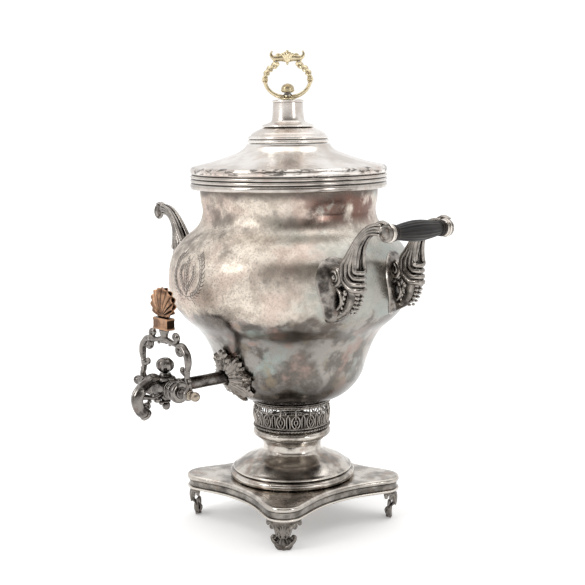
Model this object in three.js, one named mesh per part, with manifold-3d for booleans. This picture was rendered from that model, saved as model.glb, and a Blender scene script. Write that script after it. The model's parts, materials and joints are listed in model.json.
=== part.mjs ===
// A silver-plated hot-water urn heated by a charcoal fire tube, with a lever tap.
// Millimetres, +Z up. The tap points to -Y and the two handles lie along X; the left one has lost its grip.
// The origin is the centre of the underside of the whole urn's bounding box.

import * as THREE from 'three';
import { mergeVertices } from 'three/addons/utils/BufferGeometryUtils.js';
import Module from 'manifold-3d';

const wasm = await Module();
wasm.setup();

// ---------------------------------------------------------------- driving dimensions

const GAP = 0.3; // left between pieces that rest on each other on curved faces
const SHEET = 1.6; // thickness of the raised silver-plated sheet
const ROUND = 28; // facets around the large turned pieces
const MEDIUM_ROUND = 20; // facets around the fire tube and what stands over it
const SMALL_ROUND = 14; // facets around the small turned pieces

const PLINTH = { bottom: 28.5, top: 42.3, corner: 104, side: 66.5, cornerRadius: 19, wall: 2 };
const FOOT = { toeRadius: 95, apronHeight: 15, apronThickness: 3.4, pad: 7 };
const PEDESTAL = { bottom: PLINTH.top + 0.1, waist: 79.4, waistRadius: 29.6, top: 91.6 };
const GALLERY = { bottom: 94.4, top: 115.4, middleRadius: 37.9, endRadius: 35.6, wall: 1.8, repeats: 16 };
const VESSEL = { bottom: 119.6, top: 334.6, neckRadius: 83.9, holeRadius: 25.4, seam: 0.1 };
const COLLAR = { bottom: 321.7, top: 335.2, radius: 93 };
const FIRE_TUBE = { bottomRadius: 25, topRadius: 21, wall: 1.5, bottom: 122.9, top: 361 };
const LID = { seat: COLLAR.top + GAP, top: 363, rimRadius: 92.5, holeRadius: 26.4 };
const CAP = { bottom: LID.top + GAP, top: 379.5, radius: 38.2 };
const NECK = { bottom: CAP.top + GAP, top: 403.4, radius: 15, ledgeRadius: 24.6 };
const RING = { centre: 421.5, halfWidth: 21, halfHeight: 16.2, crest: 450, turn: 50 };

const TAP = { reach: 145, height: 151, shankRadius: 6.1, bore: 3, barrelHalf: 24.6, spoutRadius: 4.9 };
const KEY = { pegRadius: 2.6, legX: 34.6, eyeRadius: 5.2, ballX: 45.6, ballRadius: 4.4 };
const HANDLE = { gripX: 167.5, gripZ: 292, bracketY: 35.8, bracketThickness: 13, gripHalf: 30.2 };

// ---------------------------------------------------------------- materials

function finish(color, roughness, metalness) {
  return new THREE.MeshStandardMaterial({ color, roughness, metalness });
}

const SILVER = finish(0xb9b0a6, 0.28, 1);
const CAST_SILVER = finish(0x6f6862, 0.42, 1);
const DARK_METAL = finish(0x45413d, 0.45, 1);
const COPPER = finish(0xb07d58, 0.4, 1);
const GILT = finish(0xc9b483, 0.3, 1);
const EBONY = finish(0x17130f, 0.35, 0);
const IRON = finish(0x2e2b29, 0.8, 0.6);
const STEEL = finish(0x8a8c8e, 0.4, 1);

// ---------------------------------------------------------------- geometry helpers

const vec2 = ([x, y]) => new THREE.Vector2(x, y);

// A solid of revolution about Z from [radius, height] points: a closed loop, or ends on the axis.
function turned(profile, segments = ROUND) {
  const points = profile.map(vec2);
  const closed = profile[0][0] > 0;
  if (THREE.ShapeUtils.area(points) < 0) points.reverse();
  if (closed) points.push(points[0].clone());
  return new THREE.LatheGeometry(points, segments).rotateX(Math.PI / 2);
}

// Points of a smooth curve through [x, y] pairs.
function smooth(pairs, divisions) {
  return new THREE.SplineCurve(pairs.map(vec2)).getPoints(divisions).map((p) => [p.x, p.y]);
}

// A polyline moved sideways by a distance, to the right of its direction of travel.
function offset(pairs, distance) {
  return pairs.map(([x, y], i) => {
    const [x0, y0] = pairs[Math.max(i - 1, 0)];
    const [x1, y1] = pairs[Math.min(i + 1, pairs.length - 1)];
    const length = Math.hypot(x1 - x0, y1 - y0);
    return [x + (distance * (y1 - y0)) / length, y - (distance * (x1 - x0)) / length];
  });
}

// The part of a rising polyline between two heights, cut level at both ends.
function between(pairs, low, high) {
  const at = (height) => {
    const i = Math.max(1, pairs.findIndex(([, z]) => z >= height));
    const [r0, z0] = pairs[i - 1];
    const [r1, z1] = pairs[i];
    return [r0 + ((r1 - r0) * (height - z0)) / (z1 - z0), height];
  };
  return [at(low), ...pairs.filter(([, z]) => z > low && z < high), at(high)];
}

// A plate of even thickness: the outline lies in X-Z and the plate is centred on Y = 0.
function plateXZ(pairs, thickness) {
  const geometry = new THREE.ExtrudeGeometry(new THREE.Shape(pairs.map(vec2)), {
    depth: thickness,
    bevelEnabled: false,
  });
  return geometry.rotateX(Math.PI / 2).translate(0, thickness / 2, 0);
}

// A rod with a round section along a smooth path through [x, y, z] points.
function rod(path, radius, steps = 10, sides = 6) {
  const curve = new THREE.CatmullRomCurve3(path.map((p) => new THREE.Vector3(...p)));
  const circle = new THREE.Shape();
  circle.absarc(0, 0, radius, 0, 2 * Math.PI);
  return new THREE.ExtrudeGeometry(circle, {
    extrudePath: curve,
    steps,
    curveSegments: Math.ceil(sides / 2),
  });
}

// A closed ring with a round section of changing radius, along a loop in the X-Z plane.
function ringXZ(centreAt, radiusAt, steps, sides) {
  const positions = [];
  const indices = [];
  for (let i = 0; i < steps; i++) {
    const t = (2 * Math.PI * i) / steps;
    const centre = centreAt(t);
    const ahead = centreAt(t + 0.01);
    const outward = new THREE.Vector3(ahead[1] - centre[1], 0, centre[0] - ahead[0]).normalize();
    for (let j = 0; j < sides; j++) {
      const a = (2 * Math.PI * j) / sides;
      const reach = radiusAt(t) * Math.cos(a);
      positions.push(centre[0] + outward.x * reach, radiusAt(t) * Math.sin(a), centre[1] + outward.z * reach);
      const next = ((i + 1) % steps) * sides;
      const side = (j + 1) % sides;
      indices.push(i * sides + j, i * sides + side, next + j);
      indices.push(i * sides + side, next + side, next + j);
    }
  }
  const geometry = new THREE.BufferGeometry();
  geometry.setAttribute('position', new THREE.Float32BufferAttribute(positions, 3));
  geometry.setIndex(indices);
  return geometry;
}

const ball = (radius, x, y, z) => new THREE.SphereGeometry(radius, 8, 6).translate(x, y, z);
const block = (x, y, z, at) => new THREE.BoxGeometry(x, y, z).translate(...at);

// An upright cylinder centred on the origin.
function pin(radius, length, sides = SMALL_ROUND) {
  return new THREE.CylinderGeometry(radius, radius, length, sides).rotateX(Math.PI / 2);
}

// Turned pieces and pins that lie along X or Y instead of Z.
const alongX = (geometry) => geometry.rotateY(Math.PI / 2);
const alongMinusY = (geometry) => geometry.rotateX(Math.PI / 2);

// ---------------------------------------------------------------- joining and cutting

function toSolid(geometry) {
  const bare = geometry.clone();
  bare.deleteAttribute('normal');
  bare.deleteAttribute('uv');
  const merged = mergeVertices(bare, 1e-4);
  const vertProperties = new Float32Array(merged.attributes.position.array);
  const triVerts = new Uint32Array(merged.index.array);
  return new wasm.Manifold(new wasm.Mesh({ numProp: 3, vertProperties, triVerts }));
}

function toGeometry(solid) {
  const mesh = solid.getMesh();
  const geometry = new THREE.BufferGeometry();
  geometry.setAttribute('position', new THREE.BufferAttribute(new Float32Array(mesh.vertProperties), 3));
  geometry.setIndex(new THREE.BufferAttribute(new Uint32Array(mesh.triVerts), 1));
  return geometry;
}

const joined = (...geometries) => toGeometry(geometries.map(toSolid).reduce((a, b) => a.add(b)));
const common = (a, b) => toGeometry(toSolid(a).intersect(toSolid(b)));
const cut = (body, ...tools) => toGeometry(tools.map(toSolid).reduce((a, b) => a.subtract(b), toSolid(body)));

// ---------------------------------------------------------------- scene graph

const group = new THREE.Group();
const urn = new THREE.Group();
group.add(urn);

function add(name, geometry, material, x = 0, y = 0, z = 0) {
  const mesh = new THREE.Mesh(geometry, material);
  mesh.name = name;
  mesh.position.set(x, y, z);
  urn.add(mesh);
  return mesh;
}

// ---------------------------------------------------------------- plinth and feet

// One eighth of the plinth's outline, from the middle of a side to the tip of a corner.
function plinthEighth() {
  const { corner, side, cornerRadius } = PLINTH;
  const centre = (corner - cornerRadius) / Math.SQRT2;
  const turn = THREE.MathUtils.degToRad(60); // how far the corner's arc reaches round from its tip
  const tip = -Math.PI / 4;
  const end = [centre + cornerRadius * Math.cos(tip - turn), -centre + cornerRadius * Math.sin(tip - turn)];
  const lead = 26; // length of the straight pull that shapes the ogee flank
  const flank = new THREE.CubicBezierCurve(
    new THREE.Vector2(0, -side),
    new THREE.Vector2(lead, -side),
    new THREE.Vector2(end[0] + lead * 0.7 * Math.sin(tip - turn), end[1] - lead * 0.7 * Math.cos(tip - turn)),
    new THREE.Vector2(...end),
  );
  const points = flank.getPoints(5).map((p) => [p.x, p.y]);
  const arcSteps = 3;
  for (let i = 1; i <= arcSteps; i++) {
    const a = tip - turn * (1 - i / arcSteps);
    points.push([centre + cornerRadius * Math.cos(a), -centre + cornerRadius * Math.sin(a)]);
  }
  return points;
}

function plinthOutline() {
  const eighth = plinthEighth();
  const mirrored = eighth.slice(1, -1).reverse().map(([x, y]) => [-y, -x]);
  const quarter = [...eighth, ...mirrored];
  const outline = [];
  for (let q = 0; q < 4; q++) {
    const c = Math.round(Math.cos((q * Math.PI) / 2));
    const s = Math.round(Math.sin((q * Math.PI) / 2));
    for (const [x, y] of quarter) outline.push([c * x - s * y, s * x + c * y]);
  }
  return outline;
}

// A stack of inset copies of an outline, capped at both ends: [inset, height] for each copy.
function stacked(outline, levels) {
  const count = outline.length;
  const closed = [outline[count - 1], ...outline, outline[0]];
  const positions = [];
  const indices = [];
  for (const [inset, height] of levels) {
    const ring = offset(closed, -inset).slice(1, -1);
    for (const [x, y] of ring) positions.push(x, y, height);
  }
  for (let k = 0; k + 1 < levels.length; k++) {
    for (let i = 0; i < count; i++) {
      const a = k * count + i;
      const b = k * count + ((i + 1) % count);
      indices.push(a, b, a + count, b, b + count, a + count);
    }
  }
  const lastRing = (levels.length - 1) * count;
  const cap = THREE.ShapeUtils.triangulateShape(outline.map(vec2), []);
  for (const [a, b, c] of cap) {
    indices.push(a, c, b);
    indices.push(lastRing + a, lastRing + b, lastRing + c);
  }
  const geometry = new THREE.BufferGeometry();
  geometry.setAttribute('position', new THREE.Float32BufferAttribute(positions, 3));
  geometry.setIndex(indices);
  return geometry;
}

// A tray with a moulded edge, open below: two beads with a hollow between them.
function plinth() {
  const { bottom, top, wall } = PLINTH;
  const ceiling = top - wall;
  const tray = stacked(plinthOutline(), [
    [1, bottom], [1, bottom + 3.2], [3.2, bottom + 4.6], [0, top - 4], [0, top - 1.2], [1.2, top],
  ]);
  const hollow = stacked(plinthOutline(), [[3.2 + wall, bottom - 1], [3.2 + wall, ceiling]]);
  return cut(tray, hollow);
}

// A cabriole foot for the corner in direction (1, 0): a pierced apron, an S-shaped leg and a leaf toe.
function foot() {
  const cornerCentre = PLINTH.corner - PLINTH.cornerRadius;
  const skirtRadius = PLINTH.cornerRadius - 2.6;
  const top = PLINTH.bottom - 0.1;
  const { toeRadius, apronHeight, apronThickness, pad } = FOOT;
  const wall = turned(
    [
      [skirtRadius - apronThickness, top - apronHeight - 4],
      [skirtRadius, top - apronHeight - 4],
      [skirtRadius, top],
      [skirtRadius - apronThickness, top],
    ],
    SMALL_ROUND,
  ).translate(cornerCentre, 0, 0);
  const apronOutline = [
    [-15.5, top + 1], [-15.5, top - 4], [-11.5, top - 6.5], [-9, top - 12.5], [-4, top - apronHeight],
    [4, top - apronHeight], [9, top - 12.5], [11.5, top - 6.5], [15.5, top - 4], [15.5, top + 1],
  ];
  const front = plateXZ(apronOutline, 26).rotateZ(Math.PI / 2).translate(cornerCentre + 13, 0, 0);
  const eyes = [-4.6, 4.6].map((y) => alongX(pin(1.9, 30, 8)).translate(cornerCentre + 12, y, top - 7));
  const apron = cut(common(wall, front), ...eyes);
  const legX = cornerCentre + skirtRadius - apronThickness / 2;
  const leg = rod([
    [legX, 0, top - 5], [legX - 1.5, 0, top - apronHeight], [toeRadius - 3.2, 0, 10], [toeRadius - 2.2, 0, 4],
  ], 2.4, 5);
  const leafOutline = [
    [-pad / 2, 0], [-8.5, 7], [-11.5, 11], [-10.5, 14], [-8, 13.4], [-5.5, 11], [-2.5, 14.5],
    [2.5, 14.5], [5.5, 11], [8, 13.4], [10.5, 14], [11.5, 11], [8.5, 7], [pad / 2, 0],
  ];
  const leaf = plateXZ(leafOutline, 5).rotateZ(Math.PI / 2).translate(toeRadius - 1, 0, 0);
  return joined(apron, leg, leaf);
}

add('plinth', plinth(), SILVER);
const FOOT_NAMES = ['foot_rear_right', 'foot_rear_left', 'foot_front_left', 'foot_front_right'];
FOOT_NAMES.forEach((name, i) => {
  add(name, foot(), CAST_SILVER).rotation.z = Math.PI / 4 + (i * Math.PI) / 2;
});

// ---------------------------------------------------------------- pedestal and gallery

function pedestal() {
  const { bottom, waist, waistRadius } = PEDESTAL;
  const bell = smooth([
    [57.4, 51.4], [52.6, 55.6], [45.5, 60], [34, 65], [28.8, 69], [28.3, 75], [waistRadius, waist],
  ], 7);
  const inside = offset(bell, -SHEET).filter((point, i) => i % 2 === 1 && point[1] < waist).reverse();
  return turned([
    [58.8, bottom], [60.6, bottom + 2], [60.6, bottom + 5.6], [58.6, bottom + 8],
    ...bell,
    [29.6 - SHEET, waist],
    ...inside,
    [57.4, bottom],
  ]);
}

// The moulding that widens the waist of the pedestal again under the gallery.
function pedestalCollar() {
  const { waist, waistRadius, top } = PEDESTAL;
  const bottom = waist + 0.1;
  return turned([
    [waistRadius - SHEET, bottom], [waistRadius, bottom], [35.2, bottom + 3], [37.5, bottom + 5.8],
    [37.5, top - 3], [35.6, top], [33.6, top], [34.6, top - 3.6], [34, bottom + 5],
  ]);
}

const galleryRing = (bottom, top, inner, outer) => turned([
  [inner, bottom], [outer - 0.9, bottom], [outer, bottom + 0.9],
  [outer, top - 0.9], [outer - 0.9, top], [inner, top],
]);

// A barrel-shaped wall pierced by ovals and upright slots in turn, so that air reaches the fire.
function gallery() {
  const { bottom, top, middleRadius, endRadius, wall, repeats } = GALLERY;
  const middle = (bottom + top) / 2;
  const outside = [[endRadius, bottom], [middleRadius, bottom + 7], [middleRadius, top - 7], [endRadius, top]];
  const barrel = turned([...outside, [endRadius - wall, top], [endRadius - wall, bottom]], 2 * repeats);
  const oval = new THREE.CylinderGeometry(1, 1, 12, 6).rotateZ(Math.PI / 2).scale(1, 4.1, 7.2);
  const tools = [];
  for (let i = 0; i < repeats; i++) {
    const angle = (2 * Math.PI * i) / repeats;
    tools.push(oval.clone().translate(middleRadius, 0, middle).rotateZ(angle + Math.PI / repeats));
    tools.push(block(12, 2, 12, [middleRadius, 0, middle]).rotateZ(angle));
  }
  return cut(barrel, ...tools);
}

add('pedestal', pedestal(), SILVER);
add('pedestal_collar', pedestalCollar(), SILVER);
add('gallery_lower_ring', galleryRing(PEDESTAL.top + 0.1, GALLERY.bottom - 0.1, 31, 37.6), CAST_SILVER);
add('gallery', gallery(), CAST_SILVER);
add('gallery_upper_ring', galleryRing(GALLERY.top + 0.1, VESSEL.bottom - 0.2, 30, 38.6), CAST_SILVER);

// ---------------------------------------------------------------- vessel

// The outside of the bowl and neck, from the foot of the bowl upwards.
const VESSEL_WALL = smooth([
  [38, VESSEL.bottom], [50.5, 124.6], [60.5, 133], [68.4, 144.6], [73.2, 159.5], [79.6, 176], [88.4, 189.8],
  [102.6, 203], [113, 219], [115.4, 237.2], [111.6, 259], [100.6, 274.4], [86.6, 287], [81.8, 299.6],
  [83.4, 311.6], [VESSEL.neckRadius, 320],
], 24);

// Everything inside the outer wall moved out by a distance, without the fire tube's hole.
function bowlBlank(distance) {
  const wall = offset(VESSEL_WALL, distance);
  const [, firstZ] = wall[0];
  const [, lastZ] = wall[wall.length - 1];
  return turned([[0, firstZ], ...wall, [0, lastZ]]);
}

// The bowl is soldered together from a dished base and three rings.
const SEAMS = { cup: 141, bowl: 196, neck: 287 };
const WALL_OUTSIDE = [...VESSEL_WALL, [VESSEL.neckRadius, VESSEL.top]];
const WALL_INSIDE = offset(WALL_OUTSIDE, -SHEET).filter((point, i) => i % 2 === 1);

function vesselBase() {
  const { bottom, holeRadius, seam } = VESSEL;
  const top = SEAMS.cup - seam;
  const floorEdge = 40; // the wall starts to rise here
  return turned([
    [holeRadius, bottom],
    ...between(WALL_OUTSIDE, bottom, top),
    ...between(WALL_INSIDE, bottom + 3, top).reverse(),
    [floorEdge, bottom + SHEET],
    [holeRadius, bottom + SHEET],
  ]);
}

const vesselRing = (low, high) => turned([
  ...between(WALL_OUTSIDE, low, high), ...between(WALL_INSIDE, low, high).reverse(),
]);

// The stepped ring soldered round the top of the neck, on which the lid rests.
function rimCollar() {
  const { bottom, top, radius } = COLLAR;
  const inner = VESSEL.neckRadius + 0.3;
  return turned([
    [inner, bottom], [radius - 1.6, bottom], [radius, bottom + 1.2], [radius, bottom + 6.4],
    [radius - 1.4, bottom + 7.2], [radius - 0.2, bottom + 8], [radius - 0.2, top - 1], [radius - 1.2, top],
    [inner, top],
  ]);
}

// The charcoal burns in this tube, which stands on the seat in the middle of the bowl's floor.
function fireTube() {
  const { bottomRadius, topRadius, wall, bottom, top } = FIRE_TUBE;
  return turned([
    [bottomRadius, bottom], [topRadius, top], [topRadius - wall, top], [bottomRadius - wall, bottom],
  ], MEDIUM_ROUND);
}

// A stepped ring soldered in the floor's hole: it carries the fire tube outside and the grate inside.
function grateSeat() {
  const floor = VESSEL.bottom + SHEET + 0.1;
  const top = FIRE_TUBE.bottom - 0.1;
  const { bottomRadius } = FIRE_TUBE;
  const shelf = bottomRadius - 4;
  return turned([
    [shelf, floor - 2.8], [bottomRadius, floor - 2.8], [bottomRadius, floor], [bottomRadius + 6, floor],
    [bottomRadius + 6, top], [shelf, top],
  ], MEDIUM_ROUND);
}

// A cast-iron disc with slots, lying loose on the seat inside the fire tube.
const GRATE_THICKNESS = 3;
function grate() {
  const disc = pin(FIRE_TUBE.bottomRadius - 1.9, GRATE_THICKNESS);
  const slots = [-12, -6, 0, 6, 12].map((x) => block(3, 2 * Math.sqrt(19 ** 2 - x ** 2), 8, [x, 0, 0]));
  return cut(disc, ...slots);
}

const shankHole = alongMinusY(pin(TAP.shankRadius + 0.4, 60)).translate(0, -80, TAP.height);
add('vessel_base', vesselBase(), SILVER);
add('vessel_cup', cut(vesselRing(SEAMS.cup, SEAMS.bowl - VESSEL.seam), shankHole), SILVER);
add('vessel_bowl', vesselRing(SEAMS.bowl, SEAMS.neck - VESSEL.seam), SILVER);
add('vessel_neck', vesselRing(SEAMS.neck, VESSEL.top), SILVER);
add('rim_collar', rimCollar(), SILVER);
add('fire_tube', fireTube(), DARK_METAL);
add('grate_seat', grateSeat(), DARK_METAL);
add('grate', grate(), IRON, 0, 0, FIRE_TUBE.bottom + GRATE_THICKNESS / 2);

// ---------------------------------------------------------------- tap

// A skin of even thickness lying on the bowl, with the plan shape of a prism.
function onBowl(prism, thickness) {
  const skin = cut(bowlBlank(GAP + thickness), bowlBlank(GAP));
  return common(skin, prism);
}

// Acanthus leaves spread round the shank where it enters the bowl.
function tapRosette() {
  const leaves = 8;
  const outline = [];
  for (let i = 0; i < 4 * leaves; i++) {
    const a = (2 * Math.PI * i) / (4 * leaves);
    const radius = 21.5 + 3.5 * Math.cos(leaves * a);
    outline.push([radius * Math.cos(a), TAP.height - 1 + radius * Math.sin(a)]);
  }
  const prism = plateXZ(outline, 60).translate(0, -75, 0);
  const hole = alongMinusY(pin(TAP.shankRadius + 1, 90)).translate(0, -80, TAP.height);
  return cut(onBowl(prism, 2.6), hole);
}

// The pipe from the bowl to the tap body, with a bore for the water.
function tapShank() {
  const { shankRadius, bore, reach } = TAP;
  const inner = 56;
  const shoulder = 66.5; // where the pipe comes out of the bowl
  const outer = reach - 8.2;
  const pipe = turned([
    [bore, inner], [shankRadius - 0.6, inner], [shankRadius - 0.6, shoulder], [shankRadius, shoulder],
    [shankRadius, outer], [bore, outer],
  ], SMALL_ROUND);
  return alongMinusY(pipe).translate(0, 0, TAP.height);
}

// The tap body: an upright baluster crossed by the barrel that holds the plug, with the spout.
function tapBody() {
  const { reach, height, barrelHalf, bore, spoutRadius } = TAP;
  const baluster = turned([
    [0, 131.5], [1.8, 132], [3.4, 134], [3.6, 136.4], [2.6, 138.4], [5.6, 140.6], [7.6, 144.6], [8.4, height],
    [7.4, 156.6], [9.2, 159.6], [9.2, 161.4], [5.4, 163], [4.6, 165.2], [0, 165.2],
  ], SMALL_ROUND);
  const halfBarrel = [
    [8.6, 0], [8.6, 10], [7.2, 11.4], [8.6, 13], [7, 15], [9.4, 19], [9.8, 22], [9.2, barrelHalf],
  ];
  const mirrored = halfBarrel.slice(1).reverse().map(([r, x]) => [r, -x]);
  const barrel = alongX(turned([[0, -barrelHalf], ...mirrored, ...halfBarrel, [0, barrelHalf]], SMALL_ROUND));
  barrel.translate(0, 0, height);
  const socket = alongMinusY(turned([[0, -11], [7.4, -11], [8, -9], [8, 0], [0, 0]], SMALL_ROUND));
  socket.translate(0, 0, height);
  const spoutPath = [
    [0, -4, 159], [0, -9, 160], [0, -17, 159], [0, -25, 154],
    [0, -30.8, 146], [0, -28.4, 136.4], [0, -21.6, 130.6],
  ];
  const spout = rod(spoutPath, spoutRadius, 9, 8);
  const lip = ball(spoutRadius + 0.5, 0, -21.4, 131);
  const curl = ball(2.6, 0, -19, 136.6);
  const strut = rod([[0, -5, 147], [0, -13, 144.6], [0, -20, 146], [0, -26, 147.4]], 2.7, 6);
  const plugBore = alongX(pin(KEY.pegRadius + 2.8, 80)).translate(0, 0, height);
  const inlet = alongMinusY(pin(bore, 14)).translate(0, 7, height);
  const inletPocket = alongMinusY(pin(TAP.shankRadius + 0.3, 6)).translate(0, 11.2, height);
  const outlet = rod([[0, 0, height], [0, -0.8, 156.6], ...spoutPath.slice(1), [0, -18.6, 121]], 2.4, 9, 6);
  const body = joined(baluster, barrel, socket, spout, lip, curl, strut);
  return cut(body, plugBore, inlet, inletPocket, outlet).translate(0, -reach, 0);
}

// A ball with eight lobes that closes the top of the baluster.
function tapKnob() {
  const lobes = 8;
  const geometry = new THREE.SphereGeometry(1, 2 * lobes, 10).rotateX(Math.PI / 2);
  const position = geometry.attributes.position;
  for (let i = 0; i < position.count; i++) {
    const x = position.getX(i);
    const y = position.getY(i);
    const lobe = 1 + 0.06 * Math.cos(lobes * Math.atan2(y, x)) * Math.hypot(x, y);
    position.setXYZ(i, 7.7 * x * lobe, 7.7 * y * lobe, 6.5 * position.getZ(i));
  }
  return geometry;
}

function tapNut() {
  return alongMinusY(cut(pin(9.5, 4, 6), pin(TAP.shankRadius - 0.3, 6)));
}

// A pierced dome over the inner end of the shank, which keeps scale out of the tap.
function tapStrainer() {
  const dome = turned([
    [3.9, -1.4], [5.1, -1.4], [5.1, 2.4], [3.6, 4.6], [0, 5.6], [0, 4.4], [2.8, 3.6], [3.9, 1.8],
  ], 16);
  const holes = [0, Math.PI / 2].map((turn) => alongX(pin(0.8, 14, 6)).translate(0, 0, 0.8).rotateZ(turn));
  return alongMinusY(cut(dome, ...holes)).rotateZ(Math.PI);
}

add('tap_rosette', tapRosette(), CAST_SILVER);
add('tap_shank', tapShank(), DARK_METAL);
add('tap_body', tapBody(), DARK_METAL);
add('tap_knob', tapKnob(), DARK_METAL, 0, -TAP.reach, 172);
add('tap_nut', tapNut(), STEEL, 0, -60.6, TAP.height);
add('tap_strainer', tapStrainer(), STEEL, 0, -54, TAP.height);

// ---------------------------------------------------------------- key of the tap

// The plug crosses the barrel. Its elbow port meets the inlet and the outlet when the key is down.
function tapPlug() {
  const radius = KEY.pegRadius + 2.5;
  const { pegRadius } = KEY;
  const shoulder = TAP.barrelHalf + 1;
  const end = 43;
  const blank = turned([
    [0, -end], [pegRadius, -end], [pegRadius, -shoulder], [radius, -shoulder], [radius, shoulder],
    [pegRadius, shoulder], [pegRadius, end], [0, end],
  ], SMALL_ROUND);
  const leg = pin(TAP.bore - 0.4, 8, 10).translate(0, 0, -3.6);
  const port = joined(leg, alongMinusY(leg.clone()));
  return cut(alongX(blank), port);
}

// A turned collar with a ball, screwed on the end of the plug to hold the lyre.
function plugKnob() {
  const { pegRadius, ballX, ballRadius } = KEY;
  const inner = KEY.legX + 3;
  const profile = [
    [pegRadius + 0.3, inner], [4.4, inner], [4.4, inner + 1.2], [3.4, inner + 1.8], [4.2, ballX - 2],
    [ballRadius, ballX], [3.6, ballX + 2.4], [0, ballX + 3.9], [0, 43.4], [pegRadius + 0.3, 43.4],
  ];
  return alongX(turned(profile, 12));
}

// The lyre: two C-scroll legs, an arch between them, two volutes and a stem for the shell.
function lyre() {
  const parts = [];
  const { legX, eyeRadius } = KEY;
  for (const s of [-1, 1]) {
    parts.push(alongX(pin(eyeRadius, 5, 12)).translate(s * legX, 0, 0));
    parts.push(rod([[s * legX, 0, 2], [s * 36, 0, 8.5], [s * 33.6, 0, 14], [s * 34, 0, 20]], 2.6, 5));
    parts.push(rod([
      [s * 33.8, 0, 18], [s * 35.4, 0, 26], [s * 34.6, 0, 34], [s * 29.6, 0, 39.6], [s * 23.4, 0, 40.4],
      [s * 19.6, 0, 36],
    ], 3, 7));
    parts.push(ball(3.3, s * 19.6, 0, 35.4));
    parts.push(rod([[s * 34, 0, 19], [s * 29.6, 0, 18.4], [s * 26, 0, 21]], 2.1, 3));
    parts.push(ball(3.1, s * 26, 0, 21.4));
    parts.push(rod([[s * 23, 0, 40], [s * 14, 0, 41.4], [0, 0, 43.4]], 2.5, 4));
    parts.push(rod([
      [s * 13, 0, 42], [s * 18.6, 0, 43.6], [s * 21, 0, 47.4], [s * 18, 0, 50.6], [s * 15.2, 0, 48],
    ], 2.1, 5));
  }
  parts.push(block(11, 6.4, 12.6, [0, 0, 46.4]));
  const bore = alongX(pin(KEY.pegRadius + 0.3, 100));
  return cut(joined(...parts), bore);
}

// A scallop shell that fans out from its foot, as the thumb piece of the key.
function scallop() {
  const ribs = 9;
  const spread = THREE.MathUtils.degToRad(250);
  const centre = { x: 0, z: 12 };
  const outline = [[-7.6, 0.4], [-7.6, 3]];
  const steps = 3 * ribs;
  for (let i = 0; i <= steps; i++) {
    const a = Math.PI / 2 + spread * (0.5 - i / steps);
    const lobe = i % 3 === 0 ? 0 : 0.9;
    outline.push([centre.x + (16 + lobe) * Math.cos(a), centre.z + (13.4 + lobe) * Math.sin(a)]);
  }
  outline.push([7.6, 3], [7.6, 0.4]);
  return plateXZ(outline, 7);
}

const key = { y: -TAP.reach, z: TAP.height };
const BLOCK_BOTTOM = TAP.height + 53;
const SHELL_BOTTOM = BLOCK_BOTTOM + 10.8;
add('tap_plug', tapPlug(), DARK_METAL, 0, key.y, key.z);
add('plug_knob_right', plugKnob(), DARK_METAL, 0, key.y, key.z);
add('plug_knob_left', plugKnob(), DARK_METAL, 0, key.y, key.z).rotation.z = Math.PI;
add('lyre_handle', lyre(), DARK_METAL, 0, key.y, key.z);
add('key_block', block(22.4, 9, 10.5, [0, 0, 5.25]), COPPER, 0, key.y, BLOCK_BOTTOM);
add('key_shell', scallop(), COPPER, 0, key.y, SHELL_BOTTOM);

// ---------------------------------------------------------------- handles

const FERRULE = 4.6; // length of the collar between an arm's eye and the grip
const ROD_DEPTH = 2; // how far the tie rod enters each arm
const EYE = { radius: 7.8, thickness: 3.4, relief: 15 }; // the disc at the tip of each arm
const BACKPLATE = 2.4; // thickness of the plate under each arm

// The handle at +X; the one at -X is the same turned half round.
function backplate(side) {
  const outline = [
    ...smooth([[-9, 212], [0, 208.4], [9, 212]], 6),
    ...smooth([[13, 219], [17.6, 234], [19.4, 248], [15, 260], [7, 266], [0, 267.6]], 10),
    ...smooth([[-7, 266], [-15, 260], [-19.4, 248], [-17.6, 234], [-13, 219]], 8),
  ];
  const prism = plateXZ(outline, 70).rotateZ(Math.PI / 2).translate(105, side * HANDLE.bracketY, 0);
  return onBowl(prism, BACKPLATE);
}

// A cast arm: it rises from the backplate, narrows and turns over into the eye that holds the grip.
function bracket(side) {
  const { gripX, gripZ, bracketY, bracketThickness, gripHalf } = HANDLE;
  const outer = smooth([
    [100, 213], [112, 217], [121, 224.6], [126, 236], [132, 247], [134.6, 258], [133.4, 272], [136, 281],
    [142, 287], [149, 289.6], [156, 289],
  ], 16);
  const inner = smooth([
    [162, 300.4], [153.6, 299.4], [144.6, 294.2], [135.4, 284.6], [127.6, 274], [118.6, 262], [100, 257],
  ], 10);
  const eye = [];
  const eyeSteps = 8;
  for (let i = 0; i <= eyeSteps; i++) {
    const a = THREE.MathUtils.degToRad(-140 + (240 * i) / eyeSteps);
    eye.push([gripX + EYE.radius * Math.cos(a), gripZ + EYE.radius * Math.sin(a)]);
  }
  const arm = plateXZ([...outer, ...eye, ...inner], bracketThickness).translate(0, side * bracketY, 0);
  const seatEnd = gripHalf + FERRULE + 2 * GAP;
  const rodEnd = seatEnd + ROD_DEPTH;
  const eyeEnd = seatEnd + EYE.thickness;
  const toolLength = 20;
  const tool = (radius, middle) => alongMinusY(pin(radius, toolLength)).translate(gripX, side * middle, gripZ);
  const seat = tool(EYE.radius + 1.4, seatEnd - toolLength / 2);
  const relief = tool(EYE.relief, eyeEnd + toolLength / 2);
  const rodHole = tool(2.8, rodEnd - toolLength / 2);
  const clearOfPlate = bowlBlank(GAP + BACKPLATE + GAP);
  return cut(arm, seat, relief, rodHole, clearOfPlate);
}

// A turned collar between the arm's eye and the grip.
function ferrule() {
  return alongMinusY(turned([
    [2.8, 0], [7.2, 0], [8.2, 1.2], [7.6, 2.8], [7.8, FERRULE - 0.8], [7.2, FERRULE], [2.8, FERRULE],
  ], SMALL_ROUND));
}

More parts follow.
